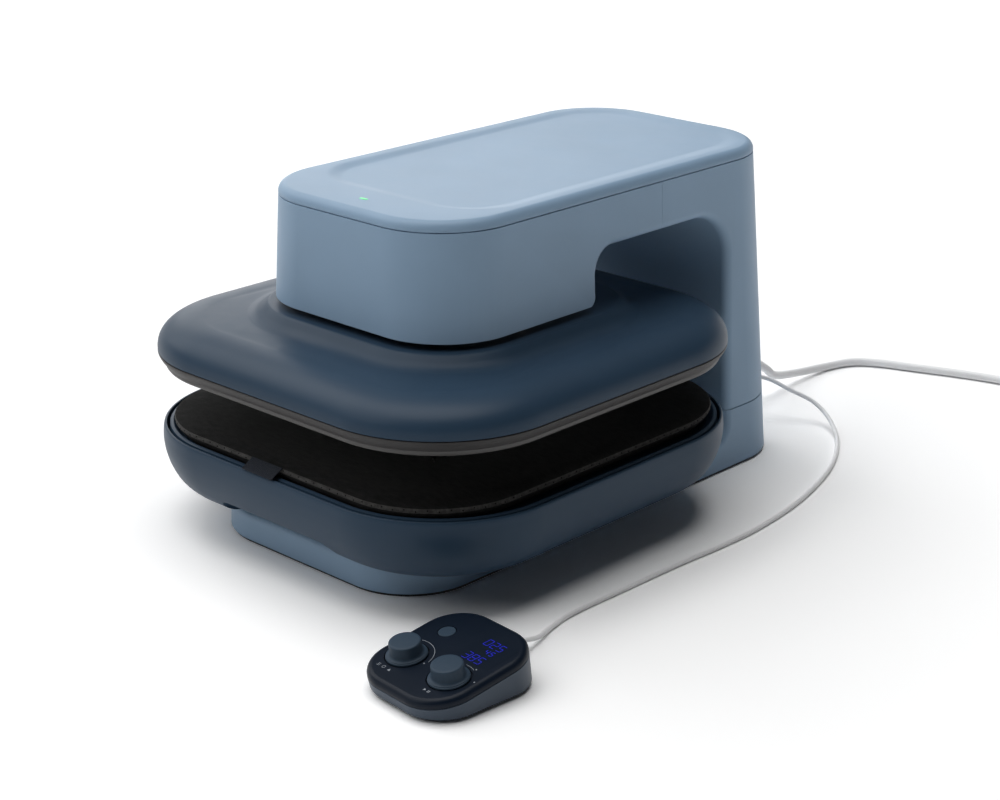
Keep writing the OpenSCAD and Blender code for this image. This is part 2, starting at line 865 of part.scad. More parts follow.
module pod_half_space(z) {
    pod_face()
        translate([-100, -100, z])
            cube([200, 200, 100]);
}

module pod_top() {
    color(navy)
        difference() {
            intersection() {
                pod_puck(0, 8, 0);
                pod_half_space(-pod_seam);
            }
            pod_puck(pod_wall, 8, -3);
            for (s = [-1, 1])
                pod_face()
                    translate([s * knob_x, knob_y, -2.6])
                        cylinder(d = flange_d + 2.4, h = 10);
            for (s = [-1, 1])
                pod_face()
                    translate([s * knob_x, knob_y, -8])
                        cylinder(d = 8, h = 10);
            pod_face()
                translate([-knob_x, button_y, -8])
                    cylinder(d = button_d + 1, h = 10);
            pod_face()
                translate([knob_x - 2 - display_w / 2, button_y - display_d / 2, -1.2])
                    cube([display_w, display_d, 5]);
        }
    color(navy)
        for (s = [-1, 1])
            pod_face()
                translate([s * knob_x, knob_y, -5.2])
                    difference() {
                        cylinder(d = flange_d + 5, h = 2.6);
                        translate([0, 0, -1])
                            cylinder(d = 8, h = 5);
                    }
}

module pod_base() {
    low = pod_foot_h;
    color(navy)
        difference() {
            pod_puck(0, 8, 0);
            pod_half_space(-pod_seam - 0.5);
            intersection() {
                pod_puck(pod_wall, 8, -3);
                translate([0, 0, low + pod_wall + 50])
                    cube([2000, 2000, 100], center = true);
            }
            translate([0, 0, low - 50])
                cube([2000, 2000, 100], center = true);
            pod_place()
                translate([0, pod_d / 2 - 12, pod_cable_z])
                    rotate([-90, 0, 0])
                        cylinder(d = cable_d + 4, h = 30);
        }
}

module pod_feet() {
    color(black)
        pod_place()
            for (x = [-pod_foot_x, pod_foot_x])
                for (y = [-pod_foot_y, pod_foot_y])
                    translate([x, y, 0])
                        cylinder(d = pod_foot_d, h = pod_foot_h);
}

module pod_board() {
    inset = pod_wall + cover_gap;
    top = -button_h - button_push - 0.8;
    color([0.1, 0.35, 0.2])
        pod_face()
            difference() {
                slab(pod_w / 2 - inset, inset - pod_d / 2, pod_d / 2 - inset, pod_r - inset, top - 1.6, top);
                for (s = [-1, 1])
                    translate([s * knob_x, knob_y, top - 3])
                        cylinder(d = 7.4, h = 4);
                translate([-knob_x, button_y, top - 3])
                    cylinder(d = 7, h = 4);
            }
}

module display_window() {
    g = 0.1;
    color([0.02, 0.03, 0.06])
        pod_face()
            translate([knob_x - 2 - display_w / 2 + g, button_y - display_d / 2 + g, -1.2])
                cube([display_w - 2 * g, display_d - 2 * g, 1.2]);
}

module pod_button() {
    color([0.25, 0.31, 0.37])
        pod_face() {
            translate([-knob_x, button_y, -button_h])
                cylinder(d = button_d, h = button_h + 0.2);
            translate([-knob_x, button_y, -button_h - 4])
                cylinder(d = 5, h = 5);
        }
}

// Encoder shaft: presses down with its knob
module knob_shaft(s) {
    color(steel)
        pod_face()
            translate([s * knob_x, knob_y, -12.5])
                cylinder(d = 6, h = 12.5 + knob_h - 4);
}

module knob_shaft_left() {
    knob_shaft(-1);
}

module knob_shaft_right() {
    knob_shaft(1);
}

module knob(s) {
    lift = knob_push - 0.9;
    fr = flange_d / 2;
    kr = knob_d / 2;
    color([0.17, 0.22, 0.28])
        pod_face()
            translate([s * knob_x, knob_y, lift - 1.2])
                rotate_extrude()
                    polygon([[3 + run_gap, 0], [fr - 0.6, 0], [fr, 0.6], [fr, 1.4], [fr - 0.8, 2.2],
                        [kr + 1.2, 2.8], [kr + 0.3, 3.6], [kr, 4.6], [kr - 0.3, knob_h],
                        [kr - 0.9, knob_h + 1], [kr - 2, knob_h + 1.4], [0, knob_h + 1.6],
                        [0, knob_h - 1.8], [3 + run_gap, knob_h - 1.8]]);
}

module knob_left() {
    knob(-1);
}

module knob_right() {
    knob(1);
}

// Strain relief sleeve at the back of the pod
module pod_sleeve() {
    y0 = pod_d / 2 - 8;
    color(navy)
        pod_place()
            translate([0, y0, pod_cable_z])
                rotate([-90, 0, 0])
                    difference() {
                        union() {
                            cylinder(d = cable_d + 3.8, h = 18);
                            translate([0, 0, 1])
                                cylinder(d = cable_d + 3.9, h = 2);
                        }
                        translate([0, 0, 14])
                            cylinder(d = cable_d + 0.2, h = 10);
                    }
}

// Gland in the back wall: a bush, a flange outside and a tapered strain relief
module gland(exit, d, boot) {
    y = body_back(exit[2]);
    color([0.3, 0.32, 0.34])
        translate([exit[0], y - wall - 6, exit[2]])
            rotate([-90, 0, 0])
                difference() {
                    union() {
                        cylinder(d = d + 2 * gland_wall, h = wall + 7);
                        translate([0, 0, wall + 6.6])
                            cylinder(d = d + 8, h = 4);
                        translate([0, 0, wall + 10])
                            cylinder(d1 = d + 2 * gland_wall, d2 = d + gland_wall, h = boot);
                    }
                    translate([0, 0, wall + 8])
                        cylinder(d = d + 2 * fit_gap, h = boot + 10);
                }
}

module cable_gland() {
    gland(cable_exit, cable_d, cable_boot);
}

module power_gland() {
    gland(power_exit, power_d, power_boot);
}

// Smooth curve through route points, as a list of points
function bezier_point(a, b, c, d, t) =
    0.5 * (2 * b + (c - a) * t + (2 * a - 5 * b + 4 * c - d) * t * t + (3 * b - a - 3 * c + d) * t * t * t);
function smooth(p, n) = [for (i = [0:len(p) - 2]) for (k = [0:n - 1])
    let (a = i == 0 ? 2 * p[0] - p[1] : p[i - 1], d = i + 2 < len(p) ? p[i + 2] : 2 * p[i + 1] - p[i])
    bezier_point(a, p[i], p[i + 1], d, k / n), p[len(p) - 1]];

function unit(v) = v / norm(v);
function tangents(p) = [for (i = [0:len(p) - 1]) unit(p[min(i + 1, len(p) - 1)] - p[max(i - 1, 0)])];

// Round tube along points: rings stand square to the path, with one side kept level
module tube(p, d, sides) {
    t = tangents(p);
    rings = [for (i = [0:len(p) - 1])
        let (u = unit(cross([0, 0, 1], t[i])), w = cross(t[i], u))
        [for (k = [0:sides - 1]) let (a = 360 * (k + 0.5) / sides)
            p[i] + d / 2 * (cos(a) * u + sin(a) * w)]];
    m = sides;
    n = len(rings);
    faces = concat(
        [[for (i = [m - 1:-1:0]) i], [for (i = [0:m - 1]) (n - 1) * m + i]],
        [for (j = [0:n - 2]) for (i = [0:m - 1])
            each [[j * m + i, j * m + (i + 1) % m, (j + 1) * m + i],
                  [j * m + (i + 1) % m, (j + 1) * m + (i + 1) % m, (j + 1) * m + i]]]);
    polyhedron(points = [for (r = rings) each r], faces = faces, convexity = 8);
}

module pod_cable() {
    start = [cable_exit[0], body_back(cable_exit[2]) + wall - 1, cable_exit[2]];
    reach = pod_d / 2 + 7;
    end = [pod_x, pod_y, 0] + [-sin(pod_turn) * reach, cos(pod_turn) * reach, pod_cable_z];
    color([0.8, 0.8, 0.8])
        tube(smooth(concat([start], cable_route, [end]), 4), cable_d, 8);
}

module power_cord() {
    start = [power_exit[0], body_back(power_exit[2]) + wall - 1, power_exit[2]];
    color([0.8, 0.8, 0.8])
        tube(smooth(concat([start], power_route), 3), power_d, 8);
}

// Coil: spirals in on the table, climbs a layer, spirals out on top
coil_pitch = power_d + coil_gap;
coil_total = 2 * coil_turns + 0.5;
function coil_point(t) =
    let (half = coil_turns + 0.5,
         inward = t < coil_turns,
         climb = min(max((t - coil_turns) / 0.5, 0), 1),
         run = inward ? t : t < half ? coil_turns + 0.16 * sin(360 * (t - coil_turns)) : coil_total - t,
         r = coil_r - coil_pitch * run,
         a = -90 + 360 * t)
    [coil_centre[0] + r * cos(a), coil_centre[1] + r * sin(a),
     4.6 + coil_pitch * (climb * climb * (3 - 2 * climb))];
coil_points = [for (i = [0:coil_total * 24]) coil_point(i / 24)];
coil_least = min([for (i = [0:len(coil_points) - 1]) for (j = [i + 12:1:len(coil_points) - 1])
    norm(coil_points[i] - coil_points[j])]) - power_d;
echo(str("least gap between turns of the coil: ", coil_least, " mm"));

module cord_coil() {
    color([0.8, 0.8, 0.8])
        tube(coil_points, power_d, 6);
}

coil_end = coil_points[len(coil_points) - 1];
plug_h = 24;
plug_w = 27;
plug_len = 32;
plug_sleeve = 14;
tail_end = [coil_end[0] + 80, coil_end[1] + 4, plug_h / 2];

// From the coil's last turn down to the plug
module cord_tail() {
    route = [coil_end, coil_end + [13, 0, 0], coil_end + [42, 3, -1.5], tail_end - [12, 0, 0], tail_end];
    color([0.8, 0.8, 0.8])
        tube(smooth(route, 4), power_d, 8);
}

// Moulded plug with two blades and an earth pin, lying on the table
module power_plug() {
    r = 6;
    start = plug_sleeve - 6;
    color([0.75, 0.75, 0.76])
        translate(tail_end - [6, 0, 0])
            rotate([90, 0, 90]) {
                difference() {
                    cylinder(d = power_d + 4, h = plug_sleeve);
                    translate([0, 0, -1])
                        cylinder(d = power_d + 0.2, h = 7);
                }
                translate([0, 0, start])
                    linear_extrude(plug_len) {
                        square([plug_w, plug_h - 2 * r], center = true);
                        square([plug_w - 2 * r, plug_h], center = true);
                        for (x = [-1, 1])
                            for (y = [-1, 1])
                                translate([x * (plug_w / 2 - r), y * (plug_h / 2 - r)])
                                    circle(r);
                    }
                for (s = [-1, 1])
                    translate([s * 6.35 - 0.75, -1, start + plug_len - 1])
                        cube([1.5, 6.3, 18]);
                translate([0, -6, start + plug_len - 1])
                    cylinder(d = 4.8, h = 21);
            }
}

foot_ring();
base_plate();
base_shell();
column_shell();
head_shell();
lid();
status_light();
inner_frame();
guide_bush_left();
guide_bush_right();
gear_motor();
control_board();
power_supply();
drive_screw();
lift_nut();
lift_ram();
guide_rod_left();
guide_rod_right();
carriage();
platen_shell();
platen_bezel();
insulation();
heat_plate();
tray_shell();
tray_pan();
mat();
mat_tag();
pod_feet();
pod_base();
pod_top();
pod_board();
display_window();
pod_button();
knob_shaft_left();
knob_shaft_right();
knob_left();
knob_right();
pod_sleeve();
cable_gland();
pod_cable();
power_gland();
power_cord();
cord_coil();
cord_tail();
power_plug();
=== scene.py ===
"""Looks of an automatic heat press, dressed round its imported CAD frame. Lengths are in metres."""
import math

import bmesh
import bpy
from mathutils import Matrix, Vector, noise


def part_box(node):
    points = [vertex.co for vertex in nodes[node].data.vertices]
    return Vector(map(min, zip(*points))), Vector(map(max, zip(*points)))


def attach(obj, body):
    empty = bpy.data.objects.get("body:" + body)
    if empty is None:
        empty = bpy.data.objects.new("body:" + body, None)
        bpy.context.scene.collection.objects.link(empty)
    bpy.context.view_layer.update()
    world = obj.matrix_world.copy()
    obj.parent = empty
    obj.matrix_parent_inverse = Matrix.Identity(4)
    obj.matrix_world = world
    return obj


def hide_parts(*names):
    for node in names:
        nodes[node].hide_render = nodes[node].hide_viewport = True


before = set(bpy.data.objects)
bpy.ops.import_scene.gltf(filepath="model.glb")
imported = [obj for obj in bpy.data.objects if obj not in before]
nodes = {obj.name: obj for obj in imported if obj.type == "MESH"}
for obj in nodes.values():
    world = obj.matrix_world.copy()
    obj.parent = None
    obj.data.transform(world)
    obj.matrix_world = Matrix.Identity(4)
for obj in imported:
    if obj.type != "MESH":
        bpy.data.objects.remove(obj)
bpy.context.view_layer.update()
scene = bpy.context.scene
mm = 0.001

# Camera, at the photograph's angle
CAM_AZIMUTH = 43.472
CAM_ELEVATION = 20.270
CAM_DISTANCE = 1.99536
CAM_TARGET = Vector((-58.83, 133.36, 51.21)) * mm
CAM_LENS = 74.97


def link(obj):
    scene.collection.objects.link(obj)
    return obj


def make_camera():
    a = math.radians(CAM_AZIMUTH)
    e = math.radians(CAM_ELEVATION)
    back = Vector((math.sin(a) * math.cos(e), -math.cos(a) * math.cos(e), math.sin(e)))
    data = bpy.data.cameras.new("camera")
    data.lens = CAM_LENS
    data.clip_end = 50
    camera = link(bpy.data.objects.new("camera", data))
    camera.location = CAM_TARGET + CAM_DISTANCE * back
    camera.rotation_mode = "QUATERNION"
    camera.rotation_quaternion = (-back).to_track_quat("-Z", "Y")
    scene.camera = camera


make_camera()


# Materials
NOISE_MIDDLE = (0.3, 0.7)
# Pointiness range over which convex edges get a painted highlight
EDGE_HIGHLIGHT_POINTINESS = (0.52, 0.62)
MOTTLE_SCALE = 14
GLOSS_SCALE = 55
GLOSS_SPREAD = 0.015
GRAIN_DEPTH = 0.2 * mm
MARKS_SCALE = 260
MARKS_GLOSS = 0.08
WEAVE_DEPTH = 0.35 * mm
FIBRE_SCALE = 1500
STREAK_SCALE = 110
STREAK_TURN = 35


def new_material(name, color, rough, metallic=0.0):
    """A material, its node tree and its shader."""
    mat = bpy.data.materials.new(name)
    mat.use_nodes = True
    tree = mat.node_tree
    bsdf = tree.nodes["Principled BSDF"]
    bsdf.inputs["Base Color"].default_value = (*color, 1)
    bsdf.inputs["Roughness"].default_value = rough
    bsdf.inputs["Metallic"].default_value = metallic
    return mat, tree, bsdf


def add(tree, kind, **values):
    """A new node, with values for its sockets or settings."""
    node = tree.nodes.new(kind)
    for key, value in values.items():
        if key in node.inputs:
            node.inputs[key].default_value = value
        else:
            setattr(node, key, value)
    return node


def noise_node(tree, scale, detail=2.0):
    coords = add(tree, "ShaderNodeTexCoord")
    node = add(tree, "ShaderNodeTexNoise", Scale=scale, Detail=detail)
    tree.links.new(coords.outputs["Object"], node.inputs["Vector"])
    return node


def combine(tree, operation, first, second):
    """A maths node that joins two values."""
    node = add(tree, "ShaderNodeMath", operation=operation)
    tree.links.new(first, node.inputs[0])
    tree.links.new(second, node.inputs[1])
    return node.outputs["Value"]


def map_range(tree, source, low, high, at_low, at_high):
    """Maps low..high to at_low..at_high."""
    node = add(tree, "ShaderNodeMapRange")
    ends = {"From Min": low, "From Max": high, "To Min": at_low, "To Max": at_high}
    for key, value in ends.items():
        node.inputs[key].default_value = value
    tree.links.new(source, node.inputs["Value"])
    return node.outputs["Result"]


def spread(tree, source, low, high):
    """Maps the middle of a noise's range to low..high."""
    return map_range(tree, source, *NOISE_MIDDLE, low, high)


def tint(tree, bsdf, color, factor):
    """Multiplies the base colour by a factor that varies over the surface."""
    scale = add(tree, "ShaderNodeVectorMath", operation="SCALE")
    scale.inputs[0].default_value = color
    tree.links.new(factor, scale.inputs["Scale"])
    tree.links.new(scale.outputs["Vector"], bsdf.inputs["Base Color"])


def bump(tree, bsdf, height, strength, distance):
    node = add(tree, "ShaderNodeBump", Strength=strength, Distance=distance)
    tree.links.new(height, node.inputs["Height"])
    tree.links.new(node.outputs["Normal"], bsdf.inputs["Normal"])


def edge_highlight_factor(tree, base, gain):
    """A factor that rises on convex edges, for a painted highlight where they catch the light."""
    geometry = add(tree, "ShaderNodeNewGeometry")
    # Painted highlight: lighter colour on convex edges
    painted_highlight = map_range(tree, geometry.outputs["Pointiness"], *EDGE_HIGHLIGHT_POINTINESS, 0, gain)
    return combine(tree, "ADD", base, painted_highlight)


# edge sets the strength of the painted highlight on convex edges
def plastic(name, color, rough, grain=1400, depth=0.05, edge=0.08, specular=0.5):
    """Moulded plastic: faint mottling, uneven gloss, fine spark grain and a painted highlight on
    convex edges.
    """
    mat, tree, bsdf = new_material(name, color, rough)
    bsdf.inputs["Specular IOR Level"].default_value = specular
    mottled = spread(tree, noise_node(tree, MOTTLE_SCALE).outputs["Fac"], 0.97, 1.03)
    # Base colour lightened on convex edges: a painted highlight
    tint(tree, bsdf, color, edge_highlight_factor(tree, mottled, edge))
    clouds = noise_node(tree, GLOSS_SCALE, 3).outputs["Fac"]
    gloss = spread(tree, clouds, rough - GLOSS_SPREAD, rough + GLOSS_SPREAD)
    tree.links.new(gloss, bsdf.inputs["Roughness"])
    bump(tree, bsdf, noise_node(tree, grain, 1).outputs["Fac"], depth, GRAIN_DEPTH)
    return mat


def metal(name, color, rough, brushed=None):
    """Metal with fine marks, stretched along one axis where it is brushed or turned."""
    mat, tree, bsdf = new_material(name, color, rough, 1.0)
    marks = noise_node(tree, MARKS_SCALE, 4)
    if brushed is not None:
        coords = add(tree, "ShaderNodeTexCoord")
        stretch = add(tree, "ShaderNodeMapping")
        stretch.inputs["Scale"].default_value = brushed
        tree.links.new(coords.outputs["Object"], stretch.inputs["Vector"])
        tree.links.new(stretch.outputs["Vector"], marks.inputs["Vector"])
    gloss = spread(tree, marks.outputs["Fac"], max(rough - MARKS_GLOSS, 0.02), rough + MARKS_GLOSS)
    tree.links.new(gloss, bsdf.inputs["Roughness"])
    tint(tree, bsdf, color, spread(tree, marks.outputs["Fac"], 0.93, 1.05))
    bump(tree, bsdf, marks.outputs["Fac"], 0.08, 0.1 * mm)
    return mat


def woven(name, color, pitch, depth, fuzz, streaks=0.0):
    """Plain weave of two thread directions, with loose fibre over it and brushed streaks."""
    mat, tree, bsdf = new_material(name, color, 0.92)
    bsdf.inputs["Sheen Weight"].default_value = fuzz
    bsdf.inputs["Sheen Roughness"].default_value = 0.5
    bsdf.inputs["Specular IOR Level"].default_value = 0.15
    coords = add(tree, "ShaderNodeTexCoord")
    bands = []
    for axis in ("X", "Y"):
        wave = add(tree, "ShaderNodeTexWave", wave_type="BANDS", bands_direction=axis)
        wave.inputs["Scale"].default_value = 0.314 / pitch
        wave.inputs["Distortion"].default_value = 1.2
        wave.inputs["Detail"].default_value = 1.0
        tree.links.new(coords.outputs["Object"], wave.inputs["Vector"])
        bands.append(wave.outputs["Fac"])
    weave = combine(tree, "MAXIMUM", *bands)
    fibre = noise_node(tree, FIBRE_SCALE, 4).outputs["Fac"]
    bump(tree, bsdf, combine(tree, "ADD", weave, fibre), depth, WEAVE_DEPTH)
    brushed = noise_node(tree, STREAK_SCALE, 3)
    stretch = add(tree, "ShaderNodeMapping", Scale=(1.0, 2.6, 2.6),
                  Rotation=(0, 0, math.radians(STREAK_TURN)))
    tree.links.new(coords.outputs["Object"], stretch.inputs["Vector"])
    tree.links.new(stretch.outputs["Vector"], brushed.inputs["Vector"])
    patches = spread(tree, brushed.outputs["Fac"], 1 - streaks, 1 + streaks)
    shade = combine(tree, "MULTIPLY", spread(tree, fibre, 0.75, 1.3), patches)
    tint(tree, bsdf, color, shade)
    return mat


def glow(name, color, strength):
    """A surface that gives light of its own over a dark base."""
    mat, tree, bsdf = new_material(name, [0.1 * c for c in color], 0.35)
    bsdf.inputs["Emission Color"].default_value = (*color, 1)
    level = spread(tree, noise_node(tree, 700).outputs["Fac"], 0.85 * strength, 1.1 * strength)
    tree.links.new(level, bsdf.inputs["Emission Strength"])
    return mat


SLATE = plastic("slate", (0.27, 0.40, 0.55), 0.45, specular=0.35)
NAVY = plastic("navy", (0.024, 0.050, 0.086), 0.42, edge=0.10, specular=0.20)
POD_NAVY = plastic("pod_navy", (0.004, 0.009, 0.019), 0.38, edge=0.12, specular=0.15)
POD_SIDE = plastic("pod_side", (0.050, 0.072, 0.104), 0.42, edge=0.12, specular=0.3)
KNOB_SLATE = plastic("knob_slate", (0.030, 0.053, 0.082), 0.48, grain=2200, specular=0.2)
BEZEL = plastic("bezel", (0.036, 0.034, 0.034), 0.50, specular=0.3)
LIP = plastic("lip", (0.052, 0.050, 0.049), 0.45, grain=900)
BLACK = plastic("black_cover", (0.012, 0.012, 0.013), 0.6)
RUBBER = plastic("rubber", (0.014, 0.014, 0.015), 0.75, grain=800, depth=0.15)
CORD = plastic("cord", (0.95, 0.95, 0.96), 0.48, grain=1800)
GLAND = plastic("gland", (0.34, 0.35, 0.36), 0.55)
PLUG = plastic("plug", (0.72, 0.72, 0.73), 0.42)
PRINT = plastic("print", (0.30, 0.33, 0.37), 0.6, depth=0.02)
WINDOW = plastic("window", (0.004, 0.009, 0.019), 0.36, depth=0.0, edge=0.0, specular=0.15)
BOARD = plastic("board", (0.02, 0.11, 0.05), 0.4)
BOARD_INSULATION = plastic("insulation", (0.55, 0.52, 0.44), 0.9, grain=300, depth=0.4)
STEEL = metal("steel", (0.52, 0.53, 0.55), 0.35, brushed=(1, 1, 14))
CHROME = metal("chrome", (0.78, 0.78, 0.80), 0.12)
BRONZE = metal("bronze", (0.60, 0.42, 0.20), 0.35)
SUPPLY = metal("supply", (0.45, 0.46, 0.48), 0.4, brushed=(14, 1, 1))
MOTOR = plastic("motor", (0.05, 0.052, 0.06), 0.45)
# Black mat cloth, made darker still by painted shade from the platen above it; the binding is the
# same black fabric, lightened by painted light where the edge catches it
MAT_CLOTH_SHADED = woven("mat_cloth_shaded", (0.0075, 0.0074, 0.0073), 1.1 * mm, 0.6, 0.06, streaks=0.7)
BINDING_LIT = woven("binding_lit", (0.050, 0.048, 0.046), 0.8 * mm, 0.7, 0.2, streaks=0.35)
TAG_CLOTH = woven("tag_cloth", (0.011, 0.015, 0.024), 0.6 * mm, 0.5, 0.15)
# Near-black: painted shade standing for the inside of the stitch holes
STITCH_HOLE_SHADE = woven("thread", (0.003, 0.003, 0.003), 0.3 * mm, 0.5, 0.0)
GREEN = glow("green", (0.10, 0.80, 0.28), 0.9)
BLUE = glow("blue", (0.008, 0.012, 0.60), 0.90)


# Meshes

def make_piece(name, mesh, material, body, replaces=(), sharp=32):
    """Puts a mesh in the scene as a piece that rides on a body."""
    mesh.shade_smooth()
    mesh.set_sharp_from_angle(angle=math.radians(sharp))
    mesh.materials.clear()
    mesh.materials.append(material)
    obj = link(bpy.data.objects.new(name, mesh))
    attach(obj, body)
    if replaces:
        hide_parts(*replaces)
    return obj


def ring(plan, inset, z, n=28):
    """A rounded rectangle, drawn in by inset. z is a height, or a function of x and y."""
    half, y0, y1, r = plan
    points = []
    for corner in range(4):
        cx = half - r if corner in (0, 3) else r - half
        cy = y1 - r if corner < 2 else y0 + r
        for i in range(n + 1):
            a = math.pi / 2 * (corner + i / n)
            x = cx + (r - inset) * math.cos(a)
            y = cy + (r - inset) * math.sin(a)
            points.append(Vector((x, y, z(x, y) if callable(z) else z)))
    return points


def skin(name, rings):
    """A closed mesh through rings of points, capped at both ends."""
    bm = bmesh.new()
    loops = [[bm.verts.new(p) for p in r] for r in rings]
    count = len(loops[0])
    for low, high in zip(loops, loops[1:]):
        for i in range(count):
            j = (i + 1) % count
            bm.faces.new((low[i], low[j], high[j], high[i]))
    bm.faces.new(loops[0])
    bm.faces.new(loops[-1])
    bmesh.ops.recalc_face_normals(bm, faces=bm.faces)
    mesh = bpy.data.meshes.new(name)
    bm.to_mesh(mesh)
    bm.free()
    return mesh


def swept(name, plan, profile):
    """A closed mesh whose [inset, z] profile runs round a rounded rectangle."""
    return skin(name, [ring(plan, inset, z) for inset, z in profile])


def arc(ci, cz, r, a0, a1, n=14):
    """Arc of a wall profile, as inset and height."""
    angles = [math.radians(a0 + (a1 - a0) * i / n) for i in range(n + 1)]
    return [(ci - r * math.cos(a), cz + r * math.sin(a)) for a in angles]


def spline(points, n=6):
    """A smooth curve through points of any size."""
    points = [Vector(p) for p in points]
    out = []
    for i in range(len(points) - 1):
        b, c = points[i], points[i + 1]
        a = points[i - 1] if i > 0 else 2 * b - c
        d = points[i + 2] if i + 2 < len(points) else 2 * c - b
        for k in range(n):
            t = k / n
            out.append(0.5 * (2 * b + (c - a) * t + (2 * a - 5 * b + 4 * c - d) * t ** 2
                              + (3 * b - a - 3 * c + d) * t ** 3))
    return out + [points[-1]]


def turned(name, profile, matrix, n=96):
    """A solid of revolution from [radius, z] points, placed by a matrix."""
    angles = [2 * math.pi * i / n for i in range(n)]
    rings = []
    for r, z in profile:
        rings.append([matrix @ Vector((r * math.cos(a), r * math.sin(a), z)) for a in angles])
    return skin(name, rings)


def cut(mesh, cutters):
    """The mesh after its cutters are taken away."""
    body = link(bpy.data.objects.new("cut_body", mesh))
    tools = []
    for cutter in cutters:
        tool = link(bpy.data.objects.new("cut_tool", cutter))
        mod = body.modifiers.new("cut", "BOOLEAN")
        mod.operation = "DIFFERENCE"
        mod.solver = "MANIFOLD"
        mod.object = tool
        tools.append(tool)
    bpy.context.view_layer.update()
    graph = bpy.context.evaluated_depsgraph_get()
    result = bpy.data.meshes.new_from_object(body.evaluated_get(graph))
    for obj in [body, *tools]:
        bpy.data.objects.remove(obj)
    bm = bmesh.new()
    bm.from_mesh(result)
    bmesh.ops.remove_doubles(bm, verts=bm.verts, dist=0.01 * mm)
    bmesh.ops.dissolve_degenerate(bm, edges=bm.edges, dist=0.005 * mm)
    bm.to_mesh(result)
    bm.free()
    return result


def weigh_normals(obj):
    """Keeps flat faces flat where they run into a fillet."""
    mod = obj.modifiers.new("weighted", "WEIGHTED_NORMAL")
    mod.weight = 100
    mod.keep_sharp = True


def block(name, low, high):
    x0, y0, z0 = low
    x1, y1, z1 = high
    base = [(x0, y0), (x1, y0), (x1, y1), (x0, y1)]
    return skin(name, [[Vector((x, y, z)) for x, y in base] for z in (z0, z1)])


def plan_of(node, radius):
    low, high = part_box(node)
    return (high.x, low.y, high.y, radius)


# Cords come first. Routes are in millimetres
POWER_D = 8.5 * mm
CABLE_D = 4.2 * mm
CORD_Z = 4.6
POWER_ROUTE = [
    (30, 352, 62), (30, 372, 62), (32, 388, 58), (37, 406, 46), (41, 424, 33), (42, 440, 22),
    (34, 490, 10), (36, 540, CORD_Z), (48, 572, CORD_Z), (72, 589, CORD_Z), (104, 601, CORD_Z),
    (150, 618, CORD_Z), (192, 630, CORD_Z), (232, 635, CORD_Z), (262, 636, CORD_Z)]
CABLE_ROUTE = [
    (58, 352, 45), (58, 362, 45), (64, 374, 44), (76, 386, 39), (93, 394, 31), (116, 405, 20),
    (143, 396, 9), (174, 363, 2.4), (205, 304, 2.4), (228, 227, 2.4), (238, 153, 2.4),
    (238, 96, 2.4), (235, 45, 2.4), (233, -31, 2.4), (232, -88, 2.4), (237, -120, 2.4),
    (245, -145, 5.5), (249, -166, 12)]
COIL_R = 66
COIL_TURNS = 1.75
COIL_PITCH = 9.7
COIL_STEPS = 36
CLIMB_TURNS = 0.5
CLIMB_BULGE = 0.16
TAIL_RUN = 80
PLUG_MID_Z = 12
GLAND_REACH = 14
SLEEVE_REACH = 7 * mm

POD_X = 243.5 * mm
POD_Y = -243 * mm
POD_TURN = -5
POD_TILT = 9
POD_H = 26.5 * mm
POD_W = 100 * mm
POD_D = 112 * mm
POD_CABLE_Z = 14 * mm
POD = Matrix.Translation((POD_X, POD_Y, 0)) @ Matrix.Rotation(math.radians(POD_TURN), 4, "Z")
FACE = POD @ Matrix.Translation((0, 0, POD_H)) @ Matrix.Rotation(math.radians(POD_TILT), 4, "X")


def coil_point(t):
    """Point of the coil after t turns: in on the table, up a layer, out on top. In millimetres."""
    total = 2 * COIL_TURNS + CLIMB_TURNS
    climb = min(max((t - COIL_TURNS) / CLIMB_TURNS, 0), 1)
    if t < COIL_TURNS:
        run = t
    elif t < COIL_TURNS + CLIMB_TURNS:
        run = COIL_TURNS + CLIMB_BULGE * math.sin(2 * math.pi * (t - COIL_TURNS))
    else:
        run = total - t
    r = COIL_R - COIL_PITCH * run
    a = 2 * math.pi * (t - 0.25)
    end_x, end_y, _ = POWER_ROUTE[-1]
    return Vector((end_x + r * math.cos(a), end_y + COIL_R + r * math.sin(a),
                   CORD_Z + COIL_PITCH * climb * climb * (3 - 2 * climb)))


def make_cord(name, points, diameter):
    data = bpy.data.curves.new(name, "CURVE")
    data.dimensions = "3D"
    data.bevel_depth = diameter / 2
    data.bevel_resolution = 6
    data.use_fill_caps = True
    line = data.splines.new("POLY")
    line.points.add(len(points) - 1)
    for target, p in zip(line.points, points):
        target.co = (*p, 1)
    line.use_smooth = True
    data.materials.append(CORD)
    obj = link(bpy.data.objects.new(name, data))
    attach(obj, "housing")
    return obj


def make_power_cord():
    exit_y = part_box("power_cord")[0].y / mm
    x, _, z = POWER_ROUTE[0]
    count = round((2 * COIL_TURNS + CLIMB_TURNS) * COIL_STEPS)
    coil = [coil_point(i / COIL_STEPS) for i in range(count + 1)]
    end = coil[-1]
    plug_end = Vector((end.x + TAIL_RUN, end.y + 4, PLUG_MID_Z))
    tail = [end, end + Vector((13, 0, 0)), end + Vector((42, 3, -1.5)),
            plug_end - Vector((12, 0, 0)), plug_end]
    points = spline([(x, exit_y, z), *POWER_ROUTE], 6) + coil[1:] + spline(tail, 6)[1:]
    points = [p * mm for p in points]
    cord = make_cord("mains_lead", points, POWER_D)
    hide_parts("power_cord", "cord_coil", "cord_tail")


def make_pod_cable():
    exit_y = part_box("cable_gland")[1].y / mm - GLAND_REACH
    x, _, z = CABLE_ROUTE[0]
    end = POD @ Vector((0, POD_D / 2 + SLEEVE_REACH, POD_CABLE_Z)) / mm
    points = [p * mm for p in spline([(x, exit_y, z), *CABLE_ROUTE, end], 8)]
    cord = make_cord("pod_lead", points, CABLE_D)
    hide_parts("pod_cable")


make_power_cord()
make_pod_cable()


